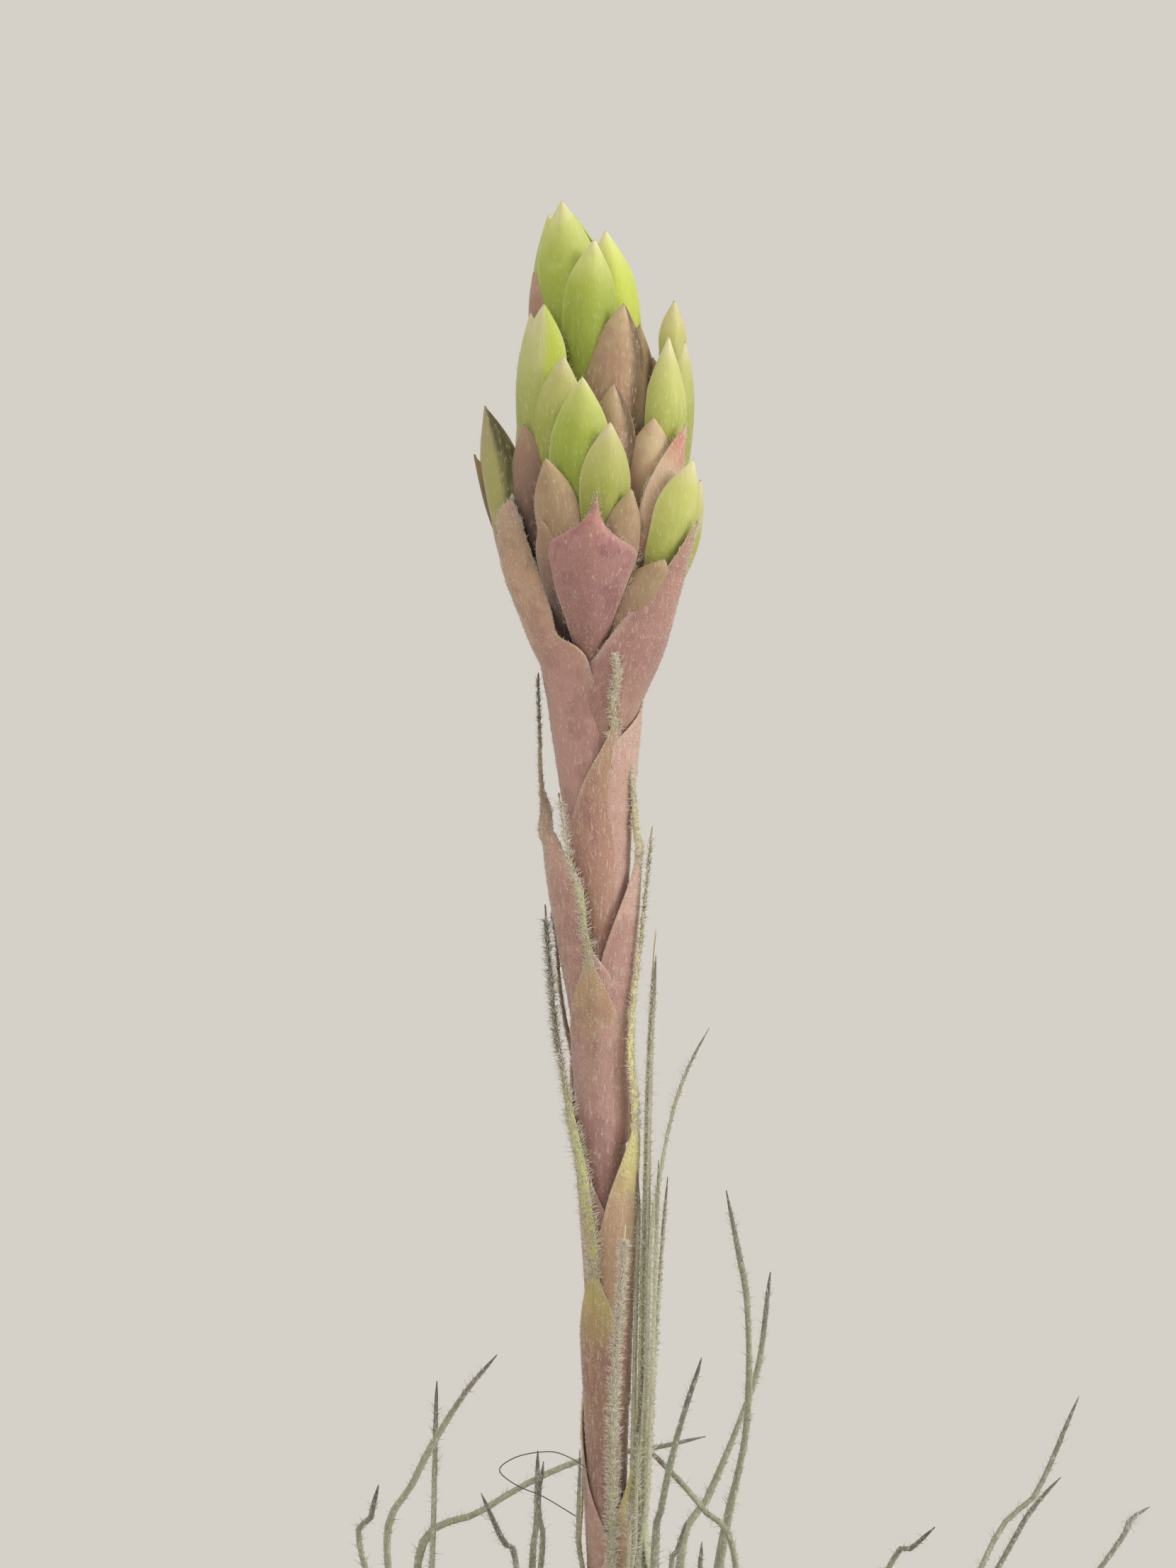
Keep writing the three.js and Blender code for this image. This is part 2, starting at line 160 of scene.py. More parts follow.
class Finish:  # a material under construction
    def __init__(self, name, **fixed):
        self.material = bpy.data.materials.new(name)
        self.material.use_nodes = True
        self.tree = self.material.node_tree
        self.shader = self.tree.nodes["Principled BSDF"]
        for key, value in fixed.items():
            self.shader.inputs[key].default_value = value

    def node(self, kind, settings=None, output=0, **inputs):
        node = self.tree.nodes.new(kind)
        for key, value in (settings or {}).items():
            if key == "stops":
                ramp = node.color_ramp
                while len(ramp.elements) < len(value):
                    ramp.elements.new(0.5)
                for element, (place, colour) in zip(ramp.elements, value):
                    element.position = place
                    element.color = colour
            else:
                setattr(node, key, value)
        for key, value in inputs.items():
            plug(self.tree, node.inputs[int(key[2:]) if key.startswith("at") else key], value)
        return Wire(self.tree, node.outputs[output])

    def set(self, socket, value):
        plug(self.tree, self.shader.inputs[socket], value)

    def uv(self):
        place = self.node("ShaderNodeUVMap", {"uv_map": "UVMap"})
        parts = self.tree.nodes.new("ShaderNodeSeparateXYZ")
        plug(self.tree, parts.inputs[0], place)
        return Wire(self.tree, parts.outputs[0]), Wire(self.tree, parts.outputs[1])

    def objectPlace(self, scale=(1, 1, 1)):
        place = self.node("ShaderNodeTexCoord", output=3)
        return self.node("ShaderNodeMapping", Vector=place, Scale=scale)

    def noise(self, scale, detail=3.0, stretch=(1, 1, 1)):
        return self.node("ShaderNodeTexNoise", Vector=self.objectPlace(stretch), Scale=scale,
                         Detail=detail, Roughness=0.55)

    def ramp(self, factor, stops):
        return self.node("ShaderNodeValToRGB", {"stops": stops}, Fac=factor)

    def blend(self, factor, first, second):
        node = self.tree.nodes.new("ShaderNodeMix")
        node.data_type = "RGBA"
        plug(self.tree, node.inputs[0], factor)
        plug(self.tree, node.inputs[6], first)
        plug(self.tree, node.inputs[7], second)
        return Wire(self.tree, node.outputs[2])

    def step(self, value, low, high):  # 0 below low, 1 above high, smooth between
        return self.node("ShaderNodeMapRange", {"interpolation_type": "SMOOTHSTEP"},
                         Value=value, at1=low, at2=high)

    def relief(self, height, strength, distance):
        self.set("Normal", self.node("ShaderNodeBump", Height=height, Strength=strength,
                                     Distance=distance))


# plant skins

def bractSkin(name, stops, margin, streak, blush=None, blushAmount=0.0, haze=0.35, flank=None):
    # colour runs up the bract; the margin is thinner and paler; a fine pale down lies over it;
    # flank is another colour towards one side: colour, where it starts and is full, how much;
    # on some bracts the flank is their own tint, on others painted shade on the side in shadow
    skin = Finish(name, Roughness=0.62)
    skin.shader.inputs["Subsurface Weight"].default_value = 0.12
    skin.shader.inputs["Subsurface Radius"].default_value = (0.0012, 0.0009, 0.0004)
    skin.shader.inputs["Subsurface Scale"].default_value = 1.0
    skin.shader.inputs["Sheen Weight"].default_value = 0.25
    skin.shader.inputs["Sheen Roughness"].default_value = 0.5
    u, v = skin.uv()
    broad = skin.noise(260.0, 2.0)
    cloudy = skin.noise(900.0, 4.0)
    fibre = skin.noise(2600.0, 3.0, (1, 1, 0.16))
    down = skin.noise(5200.0, 2.0, (1, 1, 0.3))
    colour = skin.ramp(v + (broad - 0.5) * 0.22 + (cloudy - 0.5) * 0.1, stops)
    if blush:
        patch = skin.step(broad + (cloudy - 0.5) * 0.5, 0.45, 0.62) * blushAmount
        colour = skin.blend(patch, colour, blush)
    if flank:
        flankTint, start, full, amount = flank
        colour = skin.blend(skin.step(u + (cloudy - 0.5) * 0.1, start, full) * amount, colour,
                            flankTint)
    side = skin.node("ShaderNodeMath", {"operation": "ABSOLUTE"}, at0=u * 2.0 - 1.0)
    edge = skin.step(side + (cloudy - 0.5) * 0.12, 0.78, 1.0)
    colour = skin.blend(edge * 0.6, colour, margin)
    colour = skin.blend(skin.step(fibre, 0.42, 0.75) * 0.3, colour, streak)
    colour = skin.blend(skin.step(down, 0.56, 0.74) * haze, colour, tint(226, 218, 200))
    skin.set("Base Color", colour)
    skin.set("Roughness", 0.5 + cloudy * 0.25)
    skin.relief(fibre * 0.6 + down * 0.6 + cloudy * 0.5, 0.5, 0.00009)
    return skin.material


greenSkin = bractSkin(
    "floralGreen",
    [(0.0, tint(146, 134, 70)), (0.22, tint(140, 150, 52)), (0.42, tint(136, 152, 46)),
     (0.72, tint(160, 174, 62)), (0.92, tint(198, 204, 116)), (1.0, tint(224, 216, 172))],
    tint(200, 208, 124), tint(172, 184, 80), haze=0.2)
paleGreenSkin = bractSkin(
    "floralPaleGreen",
    [(0.0, tint(150, 132, 84)), (0.3, tint(148, 150, 66)), (0.6, tint(158, 164, 72)),
     (0.86, tint(188, 186, 112)), (1.0, tint(212, 200, 164))],
    tint(202, 200, 138), tint(184, 186, 106), haze=0.3)
leftGreenSkin = bractSkin(
    "floralLeftGreen",
    [(0.0, tint(150, 136, 84)), (0.3, tint(152, 156, 76)), (0.6, tint(168, 174, 94)),
     (0.86, tint(196, 196, 132)), (1.0, tint(216, 206, 172))],
    tint(200, 198, 134), tint(186, 188, 114), haze=0.3, flank=(tint(176, 192, 44), 0.52, 0.72, 0.85))
yellowGreenSkin = bractSkin(
    "floralYellowGreen",
    [(0.0, tint(160, 136, 70)), (0.3, tint(176, 184, 52)), (0.7, tint(188, 202, 68)),
     (0.92, tint(212, 216, 128)), (1.0, tint(228, 216, 184))],
    tint(212, 216, 128), tint(200, 210, 92), haze=0.18)
brightGreenSkin = bractSkin(
    "floralBrightGreen",
    [(0.0, tint(168, 144, 96)), (0.22, tint(166, 158, 82)), (0.45, tint(168, 176, 78)),
     (0.8, tint(194, 196, 110)), (1.0, tint(222, 214, 172))],
    tint(216, 214, 160), tint(206, 206, 136), haze=0.34)
goldenSkin = bractSkin(
    "floralGolden",
    [(0.0, tint(176, 142, 122)), (0.35, tint(184, 152, 122)), (0.7, tint(202, 174, 134)),
     (1.0, tint(206, 188, 148))],
    tint(206, 190, 150), tint(208, 182, 146), tint(172, 126, 104), 0.35, haze=0.3)
# painted shade: dark at the foot and lighter up the bract, for bracts whose lower part lies in the
# shadowed gaps of the head
shadowedSkin = bractSkin(
    "floralShadowed",
    [(0.0, tint(52, 32, 30)), (0.45, tint(84, 58, 50)), (0.68, tint(132, 102, 84)),
     (1.0, tint(168, 138, 112))],
    tint(150, 122, 98), tint(140, 110, 90), haze=0.18)
# painted shade: the dark red-brown lower part, where the bract's foot lies in shadow; the rosy band
# near the tip is its own colour
flushedSkin = bractSkin(
    "primaryFlushed",
    [(0.0, tint(64, 38, 32)), (0.42, tint(98, 66, 50)), (0.56, tint(180, 146, 116)),
     (0.76, tint(204, 176, 146)), (0.86, tint(196, 146, 122)), (0.93, tint(194, 126, 110)),
     (1.0, tint(206, 166, 140))],
    tint(218, 196, 170), tint(218, 190, 164), tint(186, 128, 110), 0.3, haze=0.5)
# painted shade: dark brown for bracts seen only in shadow, behind the shield and at the outer left
shadeSkin = bractSkin(
    "floralShade",
    [(0.0, tint(52, 38, 18)), (0.5, tint(80, 60, 20)), (0.85, tint(120, 92, 50)),
     (1.0, tint(164, 140, 100))],
    tint(128, 104, 62), tint(104, 80, 40), haze=0.14)
# painted shade: the dark olive flank darkens the right half, the side of the bract that faces the
# shadowed gap
oliveSkin = bractSkin(
    "floralOlive",
    [(0.0, tint(150, 132, 84)), (0.35, tint(160, 158, 90)), (0.7, tint(164, 160, 98)),
     (1.0, tint(162, 148, 120))],
    tint(172, 166, 118), tint(168, 164, 108), haze=0.3, flank=(tint(66, 62, 18), 0.5, 0.68, 0.9))
# painted shade: the dark brown flank darkens the right side of the shield, which lies in shade
shieldSkin = bractSkin(
    "floralShield",
    [(0.0, tint(140, 106, 76)), (0.35, tint(150, 120, 88)), (0.7, tint(172, 144, 110)),
     (0.92, tint(188, 166, 126)), (1.0, tint(200, 182, 146))],
    tint(170, 140, 100), tint(190, 160, 124), tint(158, 112, 92), 0.45, haze=0.34,
    flank=(tint(78, 54, 10), 0.64, 0.8, 0.92))
beigeSkin = bractSkin(
    "floralBeige",
    [(0.0, tint(132, 100, 78)), (0.35, tint(148, 118, 88)), (0.7, tint(162, 136, 106)),
     (0.92, tint(170, 148, 108)), (1.0, tint(190, 172, 132))],
    tint(176, 160, 116), tint(180, 152, 118), tint(152, 110, 94), 0.4, haze=0.3)
brownSkin = bractSkin(
    "floralBrown",
    [(0.0, tint(112, 78, 64)), (0.4, tint(138, 102, 82)), (0.8, tint(166, 132, 108)),
     (1.0, tint(184, 156, 128))],
    tint(178, 148, 120), tint(160, 124, 100), tint(132, 88, 82), 0.5, haze=0.24)
goldenCollar = bractSkin(
    "collarGolden",
    [(0.0, tint(176, 144, 134)), (0.25, tint(180, 138, 130)), (0.5, tint(184, 138, 130)),
     (0.6, tint(188, 146, 126)), (0.7, tint(188, 152, 126)), (0.88, tint(176, 146, 118)),
     (1.0, tint(190, 164, 134))],
    tint(178, 146, 122), tint(190, 158, 134), tint(142, 98, 96), 0.4, haze=0.28)
duskyCollar = bractSkin(
    "collarDusky",
    [(0.0, tint(170, 134, 122)), (0.25, tint(160, 134, 104)), (0.42, tint(160, 124, 108)),
     (0.6, tint(166, 122, 114)), (0.85, tint(178, 134, 122)), (1.0, tint(186, 146, 128))],
    tint(206, 176, 160), tint(192, 154, 142), tint(142, 96, 94), 0.4, haze=0.35)
rosySkin = bractSkin(
    "primaryRosy",
    [(0.0, tint(120, 96, 70)), (0.16, tint(138, 104, 88)), (0.4, tint(156, 110, 106)),
     (0.72, tint(170, 124, 118)), (0.9, tint(186, 126, 120)), (1.0, tint(204, 148, 128))],
    tint(190, 154, 136), tint(184, 144, 136), tint(134, 84, 90), 0.6, haze=0.34)
dustySkin = bractSkin(
    "primaryDusty",
    [(0.0, tint(156, 112, 104)), (0.3, tint(166, 122, 112)), (0.62, tint(172, 138, 116)),
     (0.85, tint(178, 150, 120)), (1.0, tint(190, 166, 132))],
    tint(196, 166, 140), tint(188, 156, 134), tint(160, 108, 104), 0.45, haze=0.3)


def sheathSkin(name, low, high, midline, shoulder, awn, awnTip=tint(120, 110, 92), flank=None,
               dries=(0.86, 1.0)):
    # the stalk bracts: pink sheath, an olive midline above, a pale awn that dries to grey
    skin = Finish(name, Roughness=0.6)
    skin.shader.inputs["Subsurface Weight"].default_value = 0.1
    skin.shader.inputs["Subsurface Radius"].default_value = (0.0012, 0.0008, 0.0006)
    skin.shader.inputs["Subsurface Scale"].default_value = 1.0
    skin.shader.inputs["Sheen Weight"].default_value = 0.3
    u, v = skin.uv()
    broad = skin.noise(220.0, 2.0)
    cloudy = skin.noise(1000.0, 4.0)
    fibre = skin.noise(2400.0, 3.0, (1, 1, 0.14))
    down = skin.noise(4200.0, 2.0, (1, 1, 0.25))
    along = v + (broad - 0.5) * 0.08
    colour = skin.ramp(along, [
        (0.0, low), (0.28, high), (0.4, high), (0.5, shoulder), (0.55, shoulder), (0.66, awn),
        (dries[0], awn), (dries[1], awnTip)])
    side = skin.node("ShaderNodeMath", {"operation": "ABSOLUTE"}, at0=u * 2.0 - 1.0)
    middle = (1.0 - skin.step(side, 0.02, 0.3)) * skin.step(v, 0.26, 0.48)
    middle = middle * (1.0 - skin.step(v, 0.52, 0.6))
    colour = skin.blend(middle * 0.55, colour, midline)
    patch = skin.step(broad + (cloudy - 0.5) * 0.6, 0.46, 0.64) * (1.0 - skin.step(v, 0.44, 0.54))
    colour = skin.blend(patch * 0.45, colour, tint(142, 94, 92))
    # flank paints the sheath's right side paler: painted light, the down there lit from behind
    if flank:
        beside = skin.step(u + (cloudy - 0.5) * 0.3, 0.48, 0.82) * (1.0 - skin.step(v, 0.5, 0.6))
        colour = skin.blend(beside * 0.75, colour, flank)
    edge = skin.step(side, 0.8, 1.0) * (1.0 - skin.step(v, 0.5, 0.62))
    colour = skin.blend(edge * 0.4, colour, tint(206, 178, 164))
    colour = skin.blend(skin.step(fibre, 0.45, 0.75) * 0.22, colour, tint(204, 174, 160))
    colour = skin.blend(skin.step(down, 0.55, 0.72) * 0.32, colour, tint(228, 216, 204))
    skin.set("Base Color", colour)
    skin.set("Roughness", 0.5 + cloudy * 0.25)
    skin.relief(fibre * 0.6 + down * 0.7 + cloudy * 0.5, 0.5, 0.00008)
    return skin.material


pinkSheath = sheathSkin("sheathPink", tint(138, 108, 96), tint(178, 138, 130), tint(162, 136, 96),
                        tint(182, 148, 112), tint(198, 194, 142))
# the pale flank on the right side is painted light
rosySheath = sheathSkin("sheathRosy", tint(150, 122, 92), tint(172, 128, 112), tint(170, 138, 100),
                        tint(174, 138, 110), tint(204, 192, 144), tint(220, 208, 176),
                        flank=tint(214, 182, 164))
blushSheath = sheathSkin("sheathBlush", tint(160, 122, 110), tint(190, 150, 138), tint(190, 156, 130),
                         tint(192, 156, 142), tint(198, 190, 142), tint(200, 192, 154))
duskSheath = sheathSkin("sheathDusk", tint(152, 122, 110), tint(180, 140, 128), tint(172, 138, 120),
                        tint(178, 140, 126), tint(150, 136, 112), tint(92, 84, 72))
limeSheath = sheathSkin("sheathLime", tint(150, 124, 104), tint(180, 148, 118), tint(196, 188, 116),
                        tint(206, 200, 122), tint(208, 208, 132), tint(176, 170, 126))
salmonSheath = sheathSkin("sheathSalmon", tint(156, 124, 104), tint(182, 146, 132),
                          tint(180, 160, 110), tint(196, 184, 124), tint(190, 188, 128))
paleSheath = sheathSkin("sheathPale", tint(166, 144, 120), tint(196, 168, 146), tint(190, 178, 124),
                        tint(200, 194, 122), tint(208, 206, 154), tint(196, 192, 156))
brownSheath = sheathSkin("sheathBrown", tint(150, 122, 108), tint(154, 118, 100),
                         tint(166, 138, 88), tint(178, 162, 96), tint(200, 202, 128),
                         tint(112, 106, 90), dries=(0.74, 0.81))
def leafSkin(name, foot, middle, tip, lean, rib=tint(112, 116, 92)):
    # grey-green under close white scales, drying to dark purplish grey at the tip
    skin = Finish(name, Roughness=0.75)
    skin.shader.inputs["Sheen Weight"].default_value = 0.4
    u, v = skin.uv()
    broad = skin.noise(150.0, 2.0)
    cloudy = skin.noise(1300.0, 4.0)
    scales = skin.noise(4200.0, 3.0, (1, 1, 0.6))
    ribs = skin.node("ShaderNodeTexWave", {"wave_type": "BANDS", "bands_direction": "X"},
                     Vector=skin.node("ShaderNodeCombineXYZ", at0=u * 6.0, at1=v * 2.0),
                     Scale=1.0, Distortion=1.5, Detail=1.0)
    colour = skin.ramp(v + (broad - 0.5) * 0.14, [
        (0.0, tint(150, 128, 96)), (0.12, foot), (0.55, middle), (0.86, middle), (0.95, tip),
        (1.0, tint(92, 84, 80))])
    colour = skin.blend(skin.step(cloudy, 0.5, 0.68) * 0.45, colour, lean)
    colour = skin.blend(ribs * 0.25, colour, rib)
    colour = skin.blend(skin.step(scales, 0.5, 0.68) * 0.5, colour, tint(216, 216, 202))
    skin.set("Base Color", colour)
    skin.set("Roughness", 0.62 + cloudy * 0.3)
    skin.relief(scales * 0.8 + ribs * 0.4 + cloudy * 0.4, 0.6, 0.00008)
    return skin.material


leafSkins = [
    leafSkin("leafGreyGreen", tint(168, 170, 142), tint(146, 150, 126), tint(118, 110, 106),
             tint(124, 124, 104)),
    leafSkin("leafPaleGreen", tint(180, 184, 150), tint(170, 174, 146), tint(136, 126, 116),
             tint(130, 136, 108)),
    leafSkin("leafDullGrey", tint(160, 160, 142), tint(138, 138, 122), tint(106, 98, 98),
             tint(112, 108, 100)),
]


strandSkin = leafSkin("leafStrand", tint(190, 192, 156), tint(200, 202, 170), tint(158, 152, 132),
                      tint(168, 174, 136), tint(140, 146, 112))


def plain(name, colour, roughness):
    skin = Finish(name, Roughness=roughness)
    skin.set("Base Color", colour)
    skin.shader.inputs["Sheen Weight"].default_value = 0.2
    return skin.material


# single hairs are too thin for a pattern, so they come in a few plain tints
hairTints = {
    "white": plain("hairWhite", tint(238, 234, 222), 0.5),
    "cream": plain("hairCream", tint(222, 212, 176), 0.5),
    "grey": plain("hairGrey", tint(168, 160, 146), 0.6),
    "dark": plain("hairDark", tint(112, 102, 90), 0.6),
}

print("materials ready")

# sheets and shoots: masters that are copied and bent to their places

sheetColumns, sheetRows = 14, 30
sheathColumns, sheathRows = 26, 52
shootSides, shootRows = 10, 44


def clearSelection():
    bpy.ops.object.select_all(action="DESELECT")


def makeSheetMaster(name, columns, rows):
    clearSelection()
    bpy.ops.mesh.primitive_grid_add(x_subdivisions=columns, y_subdivisions=rows, size=2)
    master = bpy.context.object
    master.name = name
    return master


def makeShootMaster(name, sides, rows):
    clearSelection()
    bpy.ops.mesh.primitive_cylinder_add(vertices=sides, radius=1, depth=2)
    master = bpy.context.object
    master.name = name
    bpy.ops.object.mode_set(mode="EDIT")
    bpy.ops.mesh.select_all(action="DESELECT")
    bpy.ops.mesh.select_mode(type="EDGE")
    shape = bmesh.from_edit_mesh(master.data)
    for edge in shape.edges:
        low, high = edge.verts
        edge.select = abs(low.co.z - high.co.z) > 1
    bmesh.update_edit_mesh(master.data)
    bpy.ops.mesh.subdivide(number_cuts=rows - 1)
    bpy.ops.object.mode_set(mode="OBJECT")
    return master


sheetMaster = makeSheetMaster("sheetMaster", sheetColumns, sheetRows)
sheathMaster = makeSheetMaster("sheathMaster", sheathColumns, sheathRows)
shootMaster = makeShootMaster("shootMaster", shootSides, shootRows)


def vertexArray(mesh):
    found = np.empty(len(mesh.vertices) * 3)
    mesh.vertices.foreach_get("co", found)
    return found.reshape(-1, 3)


def placeCopy(master, name, places, material):
    # the places are in mm, one for each of the master's points
    mesh = master.data.copy()
    mesh.name = name
    mesh.vertices.foreach_set("co", (places * mm).ravel())
    mesh.materials.clear()
    mesh.materials.append(material)
    mesh.polygons.foreach_set("use_smooth", [True] * len(mesh.polygons))
    mesh.update()
    piece = bpy.data.objects.new(name, mesh)
    scene.collection.objects.link(piece)
    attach(piece, "root")
    return piece


def applyModifier(piece, name, kind, **settings):
    clearSelection()
    piece.select_set(True)
    bpy.context.view_layer.objects.active = piece
    modifier = piece.modifiers.new(name, kind)
    for key, value in settings.items():
        setattr(modifier, key, value)
    bpy.ops.object.modifier_apply(modifier=name)


def finishSheet(piece, thickness):
    applyModifier(piece, "wall", "SOLIDIFY", thickness=thickness * mm, offset=-1)
    applyModifier(piece, "round", "SUBSURF", levels=1, render_levels=1)


downBeds = []  # where hairs grow: points, outward and upward directions, and how they look


def frames(centre, facing):
    along = unit(np.gradient(centre, axis=0))
    facing = np.broadcast_to(np.asarray(facing, float), along.shape)
    across = unit(np.cross(along, facing))
    outward = np.cross(across, along)
    return along, across, outward


def sheetPlaces(master, centre, facing, halfWidth, wrap, keel=0.0, ripple=0.0, seed=0):
    # bends the flat sheet: rows follow the centre line, columns wrap round behind it
    flat = vertexArray(master.data)
    rows = len(centre)
    row = np.clip(np.round((flat[:, 1] + 1) / 2 * (rows - 1)).astype(int), 0, rows - 1)
    u = flat[:, 0]
    along, across, outward = frames(centre, facing)
    width = np.asarray(halfWidth)[row]
    turn = np.asarray(wrap)[row]
    aside = width * np.sin(u * turn) / np.sin(np.minimum(turn, 1.5))
    back = width * (1 - np.cos(u * turn)) / np.sin(np.minimum(turn, 1.5))
    back = back + keel * np.abs(u) * width
    if ripple:
        phase = random.Random(seed).uniform(0, 6.28)
        v = row / (rows - 1)
        back = back + ripple * u * u * np.sin(v * 14 + phase + u * 1.7) * smoothstep(0.15, 0.5, v)
    places = centre[row] + across[row] * aside[:, None] - outward[row] * back[:, None]
    return places, row, u, along, across, outward


def scatter(places, pick, columns, rng, sideways=True):
    # a spot somewhere in the patch of sheet above and beside each picked vertex
    above = np.minimum(pick + columns, len(places) - 1)
    root = places[pick] + (places[above] - places[pick]) * rng.uniform(0, 1, (len(pick), 1))
    if sideways:
        beside = np.where(pick % columns < columns - 1, pick + 1, pick - 1)
        root = root + (places[beside] - places[pick]) * rng.uniform(0, 1, (len(pick), 1))
    return root


def addDown(places, row, u, along, across, outward, count, length, tintMix, seed, lift, low, high,
            radius, edgeOnly=False):
    # picks spots on the sheet, from low to high up it, and leaves them for the hair maker
    rng = np.random.default_rng(seed)
    v = row / row.max()
    usable = (v >= low) & (v <= high)
    if edgeOnly:
        usable &= np.abs(u) > 0.93
    spots = np.flatnonzero(usable)
    pick = rng.choice(spots, count, p=np.full(len(spots), 1 / len(spots)))
    r = row[pick]
    out = outward[r] + across[r] * u[pick][:, None] * 1.1
    root = scatter(places, pick, int((row == 0).sum()), rng, not edgeOnly)
    aim = unit(out) * lift + along[r] + rng.normal(0, 0.35, (count, 3))
    if edgeOnly:
        aim += across[r] * np.sign(u[pick])[:, None] * 0.9
    downBeds.append({
        "root": root, "aim": unit(aim), "length": rng.uniform(*length, count),
        "radius": radius * rng.uniform(0.7, 1.2, count), "mix": tintMix, "seed": seed,
    })


def growHairs(name, beds, bent, seed):
    # every hair is a three-sided spike, with one knee where it is bent
    rng = np.random.default_rng(seed)
    root = np.vstack([b["root"] for b in beds])
    aim = np.vstack([b["aim"] for b in beds])
    length = np.concatenate([b["length"] for b in beds])
    radius = np.concatenate([b["radius"] for b in beds])
    shade = np.concatenate([
        np.random.default_rng(b["seed"] + 7).choice(len(b["mix"]), len(b["length"]),
                                                    p=b["mix"]) for b in beds])
    count = len(root)
    aside = unit(np.cross(aim, rng.normal(0, 1, (count, 3))))
    other = np.cross(aim, aside)
    curl = rng.normal(0, 0.32, (count, 2)) if bent else np.zeros((count, 2))
    knee = root + aim * (length * 0.5)[:, None]
    tip = root + aim * length[:, None] + (aside * curl[:, :1] + other * curl[:, 1:]) * length[:, None]
    rings = [(root - aim * 0.04, 1.0)] + ([(knee, 0.7)] if bent else [])
    verts = []
    for centre, share in rings:
        for k in range(3):
            angle = k * 2 * math.pi / 3
            verts.append(centre + (aside * math.cos(angle) + other * math.sin(angle))
                         * (radius * share)[:, None])
    verts.append(tip)
    each = len(verts)
    verts = np.stack(verts, axis=1).reshape(-1, 3) * mm
    if bent:
        faces = [(2, 1, 0), (0, 1, 4), (0, 4, 3), (1, 2, 5), (1, 5, 4), (2, 0, 3), (2, 3, 5),
                 (3, 4, 6), (4, 5, 6), (5, 3, 6)]
    else:
        faces = [(2, 1, 0), (0, 1, 3), (1, 2, 3), (2, 0, 3)]
    faces = np.array(faces)
    every = (faces[None] + (np.arange(count) * each)[:, None, None]).reshape(-1, 3)
    mesh = bpy.data.meshes.new(name)
    mesh.vertices.add(len(verts))
    mesh.vertices.foreach_set("co", verts.ravel())
    mesh.loops.add(len(every) * 3)
    mesh.loops.foreach_set("vertex_index", every.ravel())
    mesh.polygons.add(len(every))
    mesh.polygons.foreach_set("loop_start", np.arange(len(every)) * 3)
    mesh.polygons.foreach_set("material_index", np.repeat(shade, len(faces)))
    for hairSkin in hairTints.values():
        mesh.materials.append(hairSkin)
    mesh.update()
    mesh.validate()
    piece = bpy.data.objects.new(name, mesh)
    scene.collection.objects.link(piece)
    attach(piece, "root")
    print(name, count, "hairs")


def growAll(name, beds, bent, seed):
    most = 15000 if bent else 36000  # hairs in one piece
    batch, held, part = [], 0, 1
    for bed in beds + [None]:
        if bed is None or held + len(bed["length"]) > most:
            growHairs(f"{name}{part}", batch, bent, seed + part)
            batch, held, part = [], 0, part + 1
        if bed is not None:
            batch.append(bed)
            held += len(bed["length"])


# flower head

def bluntHalves(centre, half, blunt, footShare):
    # half widths of a bract: rounded in towards its tip, then slowly narrowing to its foot
    steps = np.linalg.norm(np.diff(centre, axis=0), axis=1)
    below = np.concatenate([np.cumsum(steps[::-1])[::-1], [0.0]])
    reach = blunt * half
    tipShare = 1 - np.clip(1 - below / reach, 0, 1) ** 1.9
    low = 1 - (1 - footShare) * smoothstep(reach * 1.1, max(below[0], reach * 1.4), below)
    return np.maximum(half * tipShare * low, 0.03)


